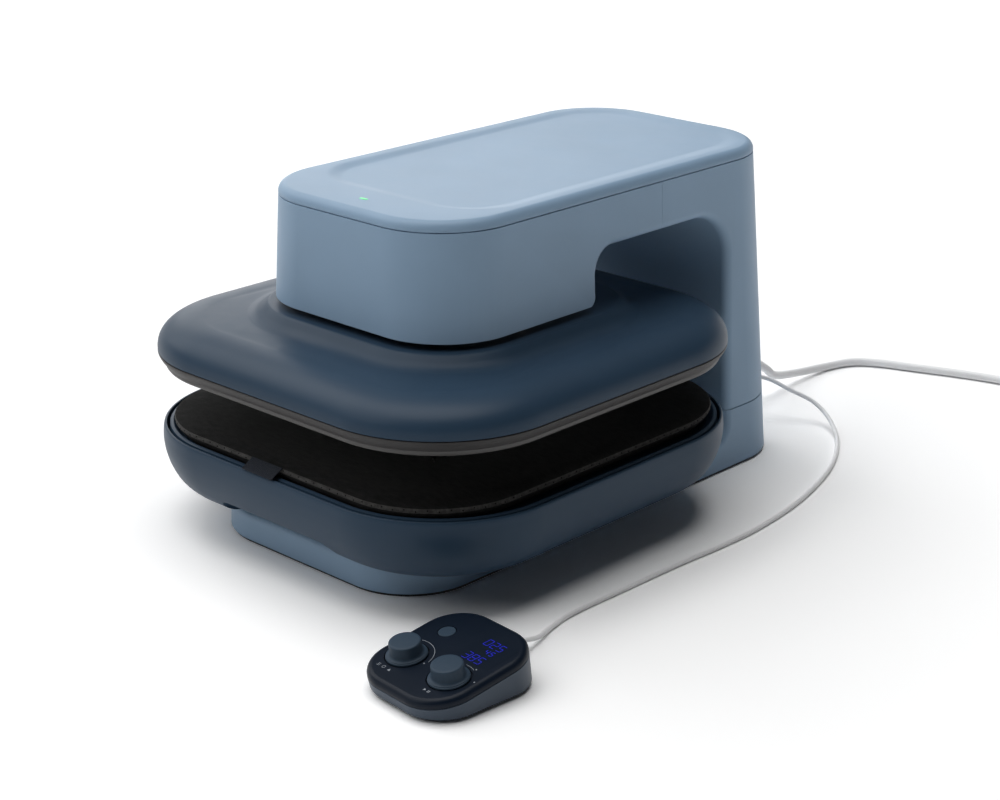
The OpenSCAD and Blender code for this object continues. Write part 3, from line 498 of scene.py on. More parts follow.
# Housing: a drafted body with a flared C opening, split into base, column and head
LID_LOW, LID_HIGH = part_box("lid")
COLUMN_LOW, COLUMN_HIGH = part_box("column_shell")
HEAD_LOW, HEAD_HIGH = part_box("head_shell")
BASE_LOW, BASE_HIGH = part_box("base_shell")
SEAM_Z = COLUMN_HIGH.z
BASE_TOP_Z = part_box("tray_shell")[0].z
CORNER_R = 70 * mm
CORNER_DRAFT = 0.017
HEAD_PLAN_R = 68.45 * mm
WALL = 3.5 * mm
HEAD_BACK = 64 * mm
ARM_UNDER_Z = 250 * mm
COLUMN_FRONT = 242 * mm
ARCH_HEAD_R = 22 * mm
ARCH_COLUMN_R = 42 * mm
ARCH_EDGE_R = 8 * mm
BASE_FILLET_R = 16 * mm
HEAD_EDGE_R = 10 * mm
FRONT_REACH = 260 * mm
OPENING_REACH = 160 * mm
FAR = 1.0
ROD_GAP = 2 * mm
SOFT_EDGE = 0.5 * mm
PARTING_FILL = 0.3 * mm
FRONT_ROUND_END = -0.1
FOOT_SKIRT = 1.5 * mm


def lean(top, low, low_z):
    """Change of a wall's place per metre below the lid seam."""
    return (low - top) / (SEAM_Z - low_z)


SIDE_DRAFT = lean(LID_HIGH.x, COLUMN_HIGH.x, COLUMN_LOW.z)
BACK_DRAFT = lean(LID_HIGH.y, COLUMN_HIGH.y, COLUMN_LOW.z)
FRONT_DRAFT = lean(LID_LOW.y, HEAD_LOW.y, HEAD_LOW.z)


def body_half(z):
    return LID_HIGH.x + SIDE_DRAFT * (SEAM_Z - z)


def body_ring(z, inset, front=None):
    y0 = LID_LOW.y + FRONT_DRAFT * (SEAM_Z - z) if front is None else front
    r = CORNER_R - CORNER_DRAFT * (SEAM_Z - z)
    y1 = LID_HIGH.y + BACK_DRAFT * (SEAM_Z - z)
    return ring((body_half(z), y0, y1, r), inset, z)


def body_solid(z0, z1, inset=0.0, front=None, edge=SOFT_EDGE):
    """The drafted body between two heights, its two rims softened."""
    stations = [(z0, edge), (z0 + 0.3 * edge, 0.3 * edge), (z0 + edge, 0),
                (z1 - edge, 0), (z1 - 0.3 * edge, 0.3 * edge), (z1, edge)]
    if edge == 0:
        stations = [(z0, 0), (z1, 0)]
    return skin("body", [body_ring(z, inset + i, front) for z, i in stations])


def c_outline(grow, n=22):
    """Side outline of the C opening as y and z, grown outwards."""
    def turn(cy, cz, r, a0, a1):
        angles = [math.radians(a0 + (a1 - a0) * i / n) for i in range(n + 1)]
        return [(cy + r * math.cos(a), cz + r * math.sin(a)) for a in angles]

    head_z = HEAD_LOW.z
    base_r, column_r, head_r = BASE_FILLET_R, ARCH_COLUMN_R, ARCH_HEAD_R
    points = [(-FRONT_REACH, BASE_TOP_Z - grow)]
    points += turn(COLUMN_FRONT - base_r, BASE_TOP_Z + base_r, base_r + grow, -90, 0)
    points += turn(COLUMN_FRONT - column_r, ARM_UNDER_Z - column_r, column_r + grow, 0, 90)
    points += turn(HEAD_BACK + head_r, ARM_UNDER_Z - head_r, head_r + grow, 90, 180)
    for i in range(n + 1):
        t = i / n
        r = HEAD_EDGE_R - grow * (1 - t)
        a = math.radians(-90 * t)
        points.append((HEAD_BACK - HEAD_EDGE_R + r * math.cos(a),
                       head_z + HEAD_EDGE_R + r * math.sin(a)))
    points.append((-FRONT_REACH, head_z))
    return points


def c_opening(steps=12):
    """Cutter for the C opening, flared at the side faces so that their edges come out round."""
    e = ARCH_EDGE_R
    flare = [(-3 * mm, e)]
    for i in range(steps + 1):
        a = math.pi / 2 * i / steps
        flare.append((e * (1 - math.cos(a)), e * (1 - math.sin(a))))
    left = [[Vector((x - body_half(z), y, z)) for y, z in c_outline(grow)] for x, grow in flare]
    right = [[Vector((-p.x, p.y, p.z)) for p in loop] for loop in reversed(left)]
    return skin("opening", left + right)


def c_opening_wall():
    """The opening's inner wall, for the hollow behind it."""
    outline = c_outline(WALL)
    return skin("opening_wall", [[Vector((x, y, z)) for y, z in outline]
                                 for x in (-OPENING_REACH, OPENING_REACH)])


def base_front_cutter(steps=12):
    """Cutter that rounds the base's top edge at the front, to meet the flare of its sides."""
    e = ARCH_EDGE_R + 0.2 * mm
    low = BASE_TOP_Z - e
    rings = [body_ring(low - 1 * mm, -1 * mm, BASE_LOW.y)]
    for i in range(steps + 1):
        a = math.pi / 2 * i / steps
        rings.append(body_ring(low + e * math.sin(a), e * (1 - math.cos(a)), BASE_LOW.y))
    rings.append(body_ring(BASE_TOP_Z + 6 * mm, e, BASE_LOW.y))
    zone = block("front_zone", (-FAR, -FAR, low), (FAR, FRONT_ROUND_END, BASE_TOP_Z + 4 * mm))
    return cut(zone, [skin("front_core", rings)])


def bore(x, y, z0, z1, radius, n=48):
    return turned("bore", [(radius, z0), (radius, z1)], Matrix.Translation((x, y, 0)), n)


def rod_holes(z, depth):
    """Cutters for the ram and the guide rods, through a face at a height."""
    holes = []
    for node in ("guide_rod_left", "guide_rod_right", "lift_ram"):
        low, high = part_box(node)
        radius = (high.x - low.x) / 2 + ROD_GAP
        holes.append(bore((low.x + high.x) / 2, 0, z - depth, z + depth, radius))
    return holes


def make_housing():
    upper = cut(body_solid(COLUMN_LOW.z, SEAM_Z), [c_opening()])
    hollow = body_solid(COLUMN_LOW.z - 5 * mm, SEAM_Z + 5 * mm, WALL, None, 0)
    upper = cut(upper, [cut(hollow, [c_opening_wall()])])
    front = block("front", (-FAR, -FAR, 0), (FAR, COLUMN_LOW.y, FAR))
    rear = block("rear", (-FAR, HEAD_HIGH.y + PARTING_FILL, 0), (FAR, FAR, FAR))
    column = cut(upper.copy(), [front])
    head = cut(upper, [rear, *rod_holes(HEAD_LOW.z, 10 * mm)])
    base = body_solid(BASE_LOW.z - FOOT_SKIRT, BASE_HIGH.z, 0, BASE_LOW.y)
    base = cut(base, [c_opening()])
    hollow = body_solid(BASE_LOW.z - 2 * mm, BASE_HIGH.z + 5 * mm, WALL, BASE_LOW.y, 0)
    base = cut(base, [cut(hollow, [c_opening_wall()]), base_front_cutter()])
    for name, mesh in (("column", column), ("head", head), ("base", base)):
        piece = make_piece(name + "_cover", mesh, SLATE, "housing",
                           [name + "_shell"])
        weigh_normals(piece)


LID_EDGE_R = 8 * mm
DISH_DEPTH = 2.4 * mm
DISH_RIM = 22 * mm
DISH_FRONT_RIM = 58 * mm
DISH_SLOPE = 17 * mm
DISH_FADE = 0.7
LID_GAP = 0.6 * mm


def make_lid():
    """Lid with a soft edge and a shallow dish that fades towards the back."""
    plan = (LID_HIGH.x, LID_LOW.y, LID_HIGH.y, CORNER_R)
    front = LID_LOW.y + DISH_FRONT_RIM - DISH_RIM
    dish = (LID_HIGH.x, front, LID_HIGH.y, CORNER_R)
    top = LID_HIGH.z
    z0 = SEAM_Z + LID_GAP
    wall = [(3 * mm, z0), (SOFT_EDGE, z0), (0.15 * mm, z0 + 0.15 * mm), (0, z0 + SOFT_EDGE)]
    wall += arc(LID_EDGE_R, top - LID_EDGE_R, LID_EDGE_R, 0, 90, 16)
    rings = [ring(plan, i, z) for i, z in wall]
    steps = 14

    def floor(share):
        def height(x, y):
            back = (y - front) / (LID_HIGH.y - front)
            return top - DISH_DEPTH * share * (1 - DISH_FADE * back)
        return height

    for i in range(steps + 1):
        t = i / steps
        inset = DISH_RIM - DISH_SLOPE / 2 + DISH_SLOPE * t
        rings.append(ring(dish, inset, floor(t * t * (3 - 2 * t))))
    make_piece("lid_cover", skin("lid_cover", rings), SLATE, "housing", ["lid"])


def make_status_lens():
    """Small lens with round ends."""
    low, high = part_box("status_light")
    middle = (low + high) / 2
    r = (high.y - low.y) / 2
    run = (high.x - low.x) / 2 - r
    loops = []
    for inset, z in [(0, low.z), (0, high.z - 0.1 * mm), (0.3 * mm, high.z)]:
        loop = []
        for i in range(40):
            a = 2 * math.pi * i / 40
            side = run if math.cos(a) > 0 else -run
            loop.append(Vector((middle.x + side + (r - inset) * math.cos(a),
                                middle.y + (r - inset) * math.sin(a), z)))
        loops.append(loop)
    lens = skin("status_lens", loops)
    make_piece("status_lens", lens, GREEN, "housing", ["status_light"])


make_housing()
make_lid()
make_status_lens()


# Upper half
PLATEN_R = 113 * mm
EDGE_RUN = 46 * mm
EDGE_RISE = 26 * mm
EDGE_POWER = 2.4
PLATEAU_REACH = 30 * mm
PLATEAU_FOOT_Z = 186.4 * mm
PLATEAU_SLOPE_W = 25 * mm
PLATEAU_SLOPE = [(0.25, 0.07), (0.45, 0.22), (0.62, 0.45), (0.76, 0.71), (0.88, 0.92), (1, 1)]
LIP_INSET = 6 * mm
LIP_R = 2.5 * mm
LIP_GAP = 0.2 * mm


def platen_edge(z0, n=30):
    """Wall profile that rises steeply, then bends ever more gently to a level top."""
    points = []
    for i in range(n + 1):
        a = math.pi / 2 * i / n
        level = max(math.cos(a), 0.0) ** (2 / EDGE_POWER)
        rise = math.sin(a) ** (2 / EDGE_POWER)
        points.append((EDGE_RUN * (1 - level), z0 + EDGE_RISE * rise))
    return points


def make_platen():
    """Domed cover with a raised plateau under the head."""
    low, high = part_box("platen_shell")
    plan = plan_of("platen_shell", PLATEN_R)
    z0 = low.z
    edge = platen_edge(z0)
    foot = [(2 * mm, z0), (SOFT_EDGE, z0), (0.1 * mm, z0 + 0.2 * mm)]
    rings = [ring(plan, i, z) for i, z in [*foot, *edge[1:-3]]]
    crown = [ring(plan, i, z) for i, z in (edge[-3], edge[-1])]
    reach = PLATEAU_REACH
    plateau = (HEAD_HIGH.x + reach, HEAD_LOW.y - reach, reach - HEAD_LOW.y, HEAD_PLAN_R + reach)
    crown.append(ring(plateau, 0, PLATEAU_FOOT_Z))
    rise = high.z - PLATEAU_FOOT_Z
    for w, h in PLATEAU_SLOPE:
        crown.append(ring(plateau, w * PLATEAU_SLOPE_W, PLATEAU_FOOT_Z + h * rise))
    crown.append(ring(plateau, PLATEAU_SLOPE_W + 12 * mm, high.z))
    paths = [spline(path, 5) for path in zip(*crown)]
    rings += [list(loop) for loop in zip(*paths)]
    shell = cut(skin("platen_cover", rings), rod_holes(high.z, 2 * mm))
    piece = make_piece("platen_cover", shell, NAVY, "platen", ["platen_shell"])
    weigh_normals(piece)


def make_bezel():
    """Band under the platen, drawn in towards its foot."""
    low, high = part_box("platen_bezel")
    flank = [(5 * mm, low.z + 0.4 * mm), (2 * mm, low.z + 4.3 * mm),
             (0.3 * mm, low.z + 7.6 * mm), (0, high.z - 0.5 * mm)]
    band = [(9 * mm, low.z), (5.4 * mm, low.z), *[tuple(p) for p in spline(flank, 5)],
            (0.3 * mm, high.z), (4 * mm, high.z)]
    mesh = swept("bezel_band", plan_of("platen_shell", PLATEN_R), band)
    make_piece("bezel_band", mesh, BEZEL, "platen", ["platen_bezel"])


def make_lip():
    """Rim of the heat plate, seen under the bezel."""
    low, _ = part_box("heat_plate")
    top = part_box("platen_bezel")[0].z - LIP_GAP
    lip = [(LIP_R, low.z), *arc(LIP_R, low.z + LIP_R, LIP_R, -60, 0, 8), (0, top), (12 * mm, top)]
    mesh = swept("plate_lip", plan_of("heat_plate", PLATEN_R - LIP_INSET), lip)
    make_piece("plate_lip", mesh, LIP, "platen", ["heat_plate"])


make_platen()
make_bezel()
make_lip()


# Lower half
TRAY_R = 117 * mm
RIM_T = 3.5 * mm
GROOVE_W = 2.6 * mm
PAN_INSET = RIM_T + GROOVE_W
RECESS_HALF = 72 * mm
RECESS_H = 18.5 * mm
RECESS_FLAT = 4 * mm
TRAY_FLOOR_INSET = 92 * mm
TRAY_WALL = [(46, 0), (34, 1), (25, 4), (17, 9), (10, 16.5), (4.5, 27), (1.2, 38), (0, 48),
             (0.4, 56), (1, 59.4)]


def recess_cutter():
    """Rounded finger slot under the tray's front edge."""
    low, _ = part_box("tray_shell")
    r = RECESS_H - RECESS_FLAT
    outline = [(-RECESS_HALF, -12 * mm)]
    for side, a0 in ((-1, 180), (1, 90)):
        for i in range(13):
            a = math.radians(a0 - 90 * i / 12)
            outline.append((side * (RECESS_HALF - r) + r * math.cos(a),
                            RECESS_H - r + r * math.sin(a)))
    outline.append((RECESS_HALF, -12 * mm))
    stations = (low.y - 10 * mm, BASE_LOW.y - 2 * mm)
    return skin("recess", [[Vector((x, y, low.z + z)) for x, z in outline] for y in stations])


def make_tray():
    low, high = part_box("tray_shell")
    plan = plan_of("tray_shell", TRAY_R)
    z0, rim = low.z, high.z
    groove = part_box("tray_pan")[0].z
    wall = [tuple(p) for p in spline([(i * mm, z0 + z * mm) for i, z in TRAY_WALL], 6)]
    lip = [(1.3 * mm, rim - 0.8 * mm), (1.8 * mm, rim - 0.2 * mm), (2.3 * mm, rim),
           (RIM_T - 0.3 * mm, rim), (RIM_T, rim - 0.4 * mm), (RIM_T, groove), (18 * mm, groove)]
    basin = swept("tray_basin", plan, [(TRAY_FLOOR_INSET, z0), *wall, *lip])
    shell = cut(basin, [recess_cutter()])
    piece = make_piece("tray_basin", shell, NAVY, "housing", ["tray_shell"])
    weigh_normals(piece)


def make_pan():
    """Insert that lines the tray, with a groove between it and the rim."""
    plan = plan_of("tray_shell", TRAY_R)
    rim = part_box("tray_shell")[1].z
    low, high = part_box("tray_pan")
    i = PAN_INSET
    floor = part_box("mat")[0].z
    inner = [(i + 3 * mm, high.z), (i + 3.6 * mm, high.z - 0.4 * mm), (i + 5 * mm, rim - 1.6 * mm),
             (i + 8 * mm, floor + 1.2 * mm), (i + 11 * mm, floor), (i + 14 * mm, floor)]
    pan = [(i + 4 * mm, low.z), (i, low.z), (i, rim - 1 * mm), (i + 0.3 * mm, rim - 0.3 * mm),
           (i + 1 * mm, rim), *[tuple(p) for p in spline(inner, 5)]]
    mesh = swept("tray_insert", plan, pan)
    make_piece("tray_insert", mesh, NAVY, "housing", ["tray_pan"])


make_tray()
make_pan()


# Mat: a padded cushion whose bound edge stands above the rim, with a row of stitch holes
MAT_R = 91 * mm
STITCH_STEP = 9.4 * mm
MAT_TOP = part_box("mat")[1].z
MAT_LIMIT = MAT_TOP + 0.2 * mm
MAT_SIDE = [(9, 0), (8, 1), (6, 3), (2.5, 7), (1.0, 9.2)]
MAT_BAND = [(0.35, 10.4), (0, 11.8), (0.05, 13.2), (0.5, 14.6)]
MAT_CROWN = [(1.5, 15.5), (3, 16.0), (6, 16.3), (11, 16.5), (20, 16.8), (32, 17.15), (44, 17.4),
             (56, 17.6), (68, 17.75), (80, 17.85), (90, 17.95), (98, 18)]
BAND_MIDDLE = 12.5 * mm
PUFF_PRESSURE = 3.0
PUFF_FRAMES = 14
PUFF_LIMIT = 1.0 * mm
RIPPLE_H = 0.25 * mm
STITCH_WANDER = 0.55 * mm
STITCH_SIZE = (0.6 * mm, 0.7 * mm, 0.35 * mm, 1)


def puff(obj, pinned, pressure, frames, cap):
    """Inflates a piece with a short cloth simulation. No point moves further than the cap."""
    rest = [v.co.copy() for v in obj.data.vertices]
    group = obj.vertex_groups.new(name="held")
    group.add(pinned, 1.0, "REPLACE")
    mod = obj.modifiers.new("puff", "CLOTH")
    mod.settings.use_pressure = True
    mod.settings.uniform_pressure_force = pressure
    mod.settings.vertex_group_mass = "held"
    mod.settings.effector_weights.gravity = 0
    mod.settings.quality = 6
    for number in range(1, frames + 1):
        scene.frame_set(number)
    graph = bpy.context.evaluated_depsgraph_get()
    blown = obj.evaluated_get(graph).to_mesh()
    moved = [v.co.copy() for v in blown.vertices]
    obj.evaluated_get(graph).to_mesh_clear()
    obj.modifiers.remove(mod)
    obj.vertex_groups.remove(group)
    scene.frame_set(1)
    for vertex, a, b in zip(obj.data.vertices, rest, moved):
        step = b - a
        if step.length > cap:
            step = step.normalized() * cap
        vertex.co = a + step


def make_mat():
    """Cushion made ring by ring, puffed, then brushed into faint wrinkles."""
    plan = plan_of("mat", MAT_R)
    z0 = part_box("mat")[0].z
    profile = [*MAT_SIDE, *MAT_BAND, *MAT_CROWN]
    rings = [ring(plan, i * mm, z0 + z * mm, 22) for i, z in profile]
    mesh = skin("pad", rings)
    bm = bmesh.new()
    bm.from_mesh(mesh)
    bmesh.ops.triangulate(bm, faces=[f for f in bm.faces if len(f.verts) > 4])
    bm.to_mesh(mesh)
    bm.free()
    piece = make_piece("pad", mesh, MAT_CLOTH_SHADED, "housing", ["mat"], sharp=70)
    count = len(rings[0])
    first = len(MAT_SIDE)
    last = first + len(MAT_BAND) - 1
    # The band's faces take the lighter binding: painted light on the bound edge
    mesh.materials.append(BINDING_LIT)
    for face in mesh.polygons:
        level = min(face.vertices) // count
        if first <= level < last and max(face.vertices) // count == level + 1:
            face.material_index = 1
    puff(piece, list(range(count * (last + 1))), PUFF_PRESSURE, PUFF_FRAMES, PUFF_LIMIT)
    for vertex in mesh.vertices[count * (last + 1):]:
        x, y, z = vertex.co
        ripple = noise.noise(Vector((x * 22, y * 60, 2.0)))
        ripple += 0.5 * noise.noise(Vector((x * 70, y * 130, 5.0)))
        vertex.co.z = min(z + RIPPLE_H * ripple, MAT_LIMIT)
    smooth = piece.modifiers.new("smooth", "SUBSURF")
    smooth.levels = 1
    smooth.render_levels = 1
    return plan, z0


def outline_walk(plan, inset, step):
    """Even steps round a rounded rectangle, as place and outward direction."""
    points = ring(plan, inset, 0, 40)
    points.append(points[0])
    places = []
    travelled = 0.0
    wanted = step / 2
    for a, b in zip(points, points[1:]):
        run = (b - a).length
        while run > 0 and wanted <= travelled + run:
            along = (b - a) / run
            places.append((a + along * (wanted - travelled), Vector((along.y, -along.x, 0))))
            wanted += step
        travelled += run
    return places


def make_stitches(plan, z0):
    """Stitch holes in the bound edge as dark dots of painted shade, by turns a little up and down,
    all in one piece.
    """
    bm = bmesh.new()
    for number, (place, out) in enumerate(outline_walk(plan, 0, STITCH_STEP)):
        turn = out.to_track_quat("Z", "Y").to_matrix().to_4x4()
        height = z0 + BAND_MIDDLE + (STITCH_WANDER if number % 2 else -STITCH_WANDER)
        middle = Matrix.Translation(place + Vector((0, 0, height)) - 0.1 * mm * out)
        shape = middle @ turn @ Matrix.Diagonal(STITCH_SIZE)
        bmesh.ops.create_uvsphere(bm, u_segments=12, v_segments=6, radius=1, matrix=shape)
    mesh = bpy.data.meshes.new("pad_stitches")
    bm.to_mesh(mesh)
    bm.free()
    make_piece("pad_stitches", mesh, STITCH_HOLE_SHADE, "housing")


TAG_LINE = [(-200.6, 98.7), (-204.2, 96.7), (-207.8, 94.8), (-210.6, 93.4), (-212.6, 91.9)]
TAG_TRIM = 4.5 * mm
TAG_T = 0.8 * mm
TAG_SOFT = 0.15 * mm


def make_tag():
    """Blank woven tag that curves from the mat's edge over the rim."""
    low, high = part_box("mat_tag")
    high.x -= TAG_TRIM
    line = [Vector((0, p.x, p.y)) * mm for p in spline(TAG_LINE, 5)]
    rings = []
    for i, p in enumerate(line):
        along = line[min(i + 1, len(line) - 1)] - line[max(i - 1, 0)]
        up = Vector((0, along.z, -along.y)).normalized()
        x0, x1 = low.x + TAG_SOFT, high.x - TAG_SOFT
        corners = [(x0, 0), (x1, 0), (high.x, TAG_T / 2), (x1, TAG_T), (x0, TAG_T),
                   (low.x, TAG_T / 2)]
        rings.append([Vector((x, p.y, p.z)) + up * h for x, h in corners])
    tag = skin("blank_tag", rings)
    make_piece("blank_tag", tag, TAG_CLOTH, "housing", ["mat_tag"], sharp=50)


make_stitches(*make_mat())
make_tag()


# Control pod
POD_R = 34 * mm
POD_EDGE_R = 5.4 * mm
POD_SEAM = 6.8 * mm
POD_SEAM_GAP = 0.25 * mm
POD_FLOOR_Z = 2 * mm
POD_FOOT_R = 2.5 * mm
POD_FOOT_INSET = 0.6 * mm
KNOB_X = 24.5 * mm
KNOB_Y = -19 * mm
BUTTON_Y = 21 * mm
FLANGE_D = 32.5 * mm
KNOB_D = 25.5 * mm
KNOB_H = 12 * mm
KNOB_LIFT = -0.6 * mm
BUTTON_D = 14 * mm
BUTTON_GAP = 0.5 * mm
SHAFT_HOLE_R = 4 * mm
SHAFT_PIT_R = 5 * mm
WELL_DEPTH = 2.6 * mm
WELL_GAP = 1.2 * mm
POD_PIT = 17 * mm
DISPLAY = Vector((22.5 * mm, 21 * mm, 0))
DISPLAY_W = 36 * mm
DISPLAY_D = 24 * mm


def spot(x, y, z=0.0):
    """Frame on the pod's tilted face."""
    return FACE @ Matrix.Translation((x, y, z))


def round_cutter(radius, low, high, place, n=96):
    return turned("round_cutter", [(radius, low), (radius, high)], place, n)


def make_pod_cover(plan):
    """Cover with a soft edge, wells for the knobs and a hole for the button."""
    profile = [(3 * mm, -POD_SEAM), (0.3 * mm, -POD_SEAM), (0, -POD_SEAM + 0.3 * mm)]
    profile += arc(POD_EDGE_R, -POD_EDGE_R, POD_EDGE_R, 0, 90, 18)
    mesh = swept("pod_cover", plan, profile)
    mesh.transform(FACE)
    through = -POD_SEAM - 1 * mm
    cutters = []
    for side in (-1, 1):
        well = spot(side * KNOB_X, KNOB_Y)
        cutters.append(round_cutter(FLANGE_D / 2 + WELL_GAP, -WELL_DEPTH, 6 * mm, well))
        cutters.append(round_cutter(SHAFT_HOLE_R, through, 0, well, 48))
    button = spot(-KNOB_X, BUTTON_Y)
    cutters.append(round_cutter(BUTTON_D / 2 + BUTTON_GAP, through, 6 * mm, button))
    top = make_piece("pod_cover", cut(mesh, cutters), POD_NAVY, "housing", ["pod_top"])
    weigh_normals(top)


def make_pod_tub(plan):
    """Lower shell, between the tilted cover and the table."""
    normal = FACE.to_3x3() @ Vector((0, 0, 1))

    def dropped(inset, height):
        """Ring of the pod's outline, slid along the face's normal to a height above the table."""
        points = [FACE @ p for p in ring(plan, inset, -POD_SEAM - 6 * mm)]
        return [p + normal * ((height - p.z) / normal.z) for p in points]

    top = -POD_SEAM - POD_SEAM_GAP
    upper = [(3 * mm, top), (0.3 * mm, top), (0, top - 0.3 * mm)]
    rings = [[FACE @ p for p in ring(plan, inset, z)] for inset, z in upper]
    r = POD_FOOT_R
    for i in range(9):
        a = math.pi / 2 * i / 8
        inset = POD_FOOT_INSET + r * (1 - math.cos(a))
        rings.append(dropped(inset, POD_FLOOR_Z + r * (1 - math.sin(a))))
    pits = [round_cutter(SHAFT_PIT_R, -POD_PIT, 0, spot(side * KNOB_X, KNOB_Y), 48)
            for side in (-1, 1)]
    button = spot(-KNOB_X, BUTTON_Y)
    pits.append(round_cutter(BUTTON_D / 2 + BUTTON_GAP, -POD_PIT, 0, button, 48))
    mesh = cut(skin("pod_tub", rings), pits)
    tub = make_piece("pod_tub", mesh, POD_SIDE, "housing", ["pod_base"])
    weigh_normals(tub)


FLANGE_R = FLANGE_D / 2
KNOB_R = KNOB_D / 2
DIAL_OUTER = [
    (FLANGE_R - 0.1 * mm, 0.2 * mm), (FLANGE_R, 0.7 * mm), (FLANGE_R, 1.3 * mm),
    (FLANGE_R - 0.3 * mm, 1.8 * mm), (FLANGE_R - 1.0 * mm, 2.1 * mm), (KNOB_R + 2.6 * mm, 2.5 * mm),
    (KNOB_R + 1.2 * mm, 2.9 * mm), (KNOB_R + 0.4 * mm, 3.6 * mm), (KNOB_R + 0.05 * mm, 4.6 * mm),
    (KNOB_R - 0.3 * mm, KNOB_H), (KNOB_R - 0.45 * mm, KNOB_H + 0.55 * mm),
    (KNOB_R - 0.9 * mm, KNOB_H + 1.0 * mm), (KNOB_R - 1.6 * mm, KNOB_H + 1.2 * mm),
    (KNOB_R - 2.6 * mm, KNOB_H + 1.25 * mm), (5 * mm, KNOB_H + 1.5 * mm),
    (0.5 * mm, KNOB_H + 1.55 * mm)]
DIAL_BORE_R = 3.1 * mm
DIAL_BORE_TOP = KNOB_H - 1.8 * mm
DIAL_INNER = [(0.5 * mm, DIAL_BORE_TOP), (DIAL_BORE_R, DIAL_BORE_TOP), (DIAL_BORE_R, 0),
              (FLANGE_R - 0.6 * mm, 0)]
BUTTON_R = BUTTON_D / 2
KEY_PROFILE = [
    (BUTTON_R, -7 * mm), (BUTTON_R, -0.5 * mm), (BUTTON_R - 0.15 * mm, -0.1 * mm),
    (BUTTON_R - 0.5 * mm, 0.15 * mm), (BUTTON_R - 1.5 * mm, 0.2 * mm), (3 * mm, 0.1 * mm)]


def make_controls():
    for side, name in ((-1, "left"), (1, "right")):
        place = spot(side * KNOB_X, KNOB_Y, KNOB_LIFT)
        dial = turned("dial_" + name, [*DIAL_INNER, *DIAL_OUTER], place)
        make_piece("dial_" + name, dial, KNOB_SLATE, name + "_knob", ["knob_" + name])
    key = turned("key", KEY_PROFILE, spot(-KNOB_X, BUTTON_Y))
    make_piece("key", key, KNOB_SLATE, "button", ["pod_button"])


# Lit bars of the digits in use
SEGMENTS = {"0": "abcdef", "2": "abged", "3": "abgcd", "4": "fgbc", "5": "afgcd", "8": "abcdefg"}


def flat_shape(bm, matrix, points, height):
    """A thin raised shape on the pod's face, from its outline."""
    low = [bm.verts.new(matrix @ Vector((x, y, 0))) for x, y in points]
    high = [bm.verts.new(matrix @ Vector((x, y, height))) for x, y in points]
    bm.faces.new(high)
    bm.faces.new(list(reversed(low)))
    for i in range(len(points)):
        j = (i + 1) % len(points)
        bm.faces.new((low[i], low[j], high[j], high[i]))


def segment_points(letter, w, h, t):
    """Outline of one bar of a seven-bar digit, in the digit's own frame."""
    def bar(x0, y0, x1, y1):
        along = Vector((x1 - x0, y1 - y0)).normalized()
        side = Vector((-along.y, along.x)) * t / 2
        a = Vector((x0, y0)) + along * t * 0.65
        b = Vector((x1, y1)) - along * t * 0.65
        tip = along * t / 2
        return [a - tip, a - side, b - side, b + tip, b + side, a + side]

    middle = h / 2
    bars = {"a": (0, h, w, h), "g": (0, middle, w, middle), "d": (0, 0, w, 0),
            "f": (0, middle, 0, h), "b": (w, middle, w, h), "e": (0, 0, 0, middle),
            "c": (w, 0, w, middle)}
    return [tuple(p) for p in bar(*bars[letter])]


def disc_points(x, y, r, n=20):
    angles = [2 * math.pi * i / n for i in range(n)]
    return [(x + r * math.cos(a), y + r * math.sin(a)) for a in angles]


def arc_points(x, y, r, t, a0, a1, n=36):
    """Outline of a curved stroke."""
    angles = [math.radians(a0 + (a1 - a0) * i / n) for i in range(n + 1)]
    far, near = r + t / 2, r - t / 2
    outside = [(x + far * math.cos(a), y + far * math.sin(a)) for a in angles]
    inside = [(x + near * math.cos(a), y + near * math.sin(a)) for a in reversed(angles)]
    return outside + inside


def mesh_of(name, shapes, matrix, height):
    bm = bmesh.new()
    for points in shapes:
        flat_shape(bm, matrix, points, height)
    bmesh.ops.recalc_face_normals(bm, faces=bm.faces)
    mesh = bpy.data.meshes.new(name)
    bm.to_mesh(mesh)
    bm.free()
    return mesh


# Lit rows: the number, then the width, height, left and foot of its digits on the pod's face
DIGIT_ROWS = [("025", 4.6 * mm, 7.6 * mm, 10.5 * mm, 26.6 * mm),
              ("45", 2.9 * mm, 5.0 * mm, 20.0 * mm, 18.6 * mm),
              ("385", 4.6 * mm, 8.4 * mm, 9.6 * mm, 5.6 * mm)]
DIGIT_GAP = 2.4 * mm
DIGIT_SLANT = 0.10
BAR_T = 0.5 * mm
FILM_H = 0.06 * mm
DIGIT_H = 0.05 * mm
PRINT_H = 0.04 * mm


def make_display():
    film_plan = (DISPLAY_W / 2, -DISPLAY_D / 2 - 5 * mm, DISPLAY_D / 2 + 4 * mm, 3 * mm)
    film = [(p.x + DISPLAY.x, p.y + DISPLAY.y) for p in ring(film_plan, 0.2 * mm, 0, 8)]
    window = mesh_of("dark_window", [film], FACE, FILM_H)
    make_piece("dark_window", window, WINDOW, "housing", ["display_window"])
    shapes = []
    for text, dw, dh, x, y in DIGIT_ROWS:
        for place, digit in enumerate(text):
            left = x + place * (dw + DIGIT_GAP)
            for letter in SEGMENTS[digit]:
                bar = segment_points(letter, dw, dh, BAR_T)
                shapes.append([(left + px + DIGIT_SLANT * py, y + py) for px, py in bar])
    digits = mesh_of("digits", shapes, spot(0, 0, FILM_H), DIGIT_H)
    make_piece("digits", digits, BLUE, "housing")


MARK_T = 0.35 * mm
ICON_Y = -41.5 * mm
ICON_H = 2.6 * mm
DOT_R = 0.65 * mm


def bar_points(x, y, w, h):
    return [(x, y), (x + w, y), (x + w, y + h), (x, y + h)]


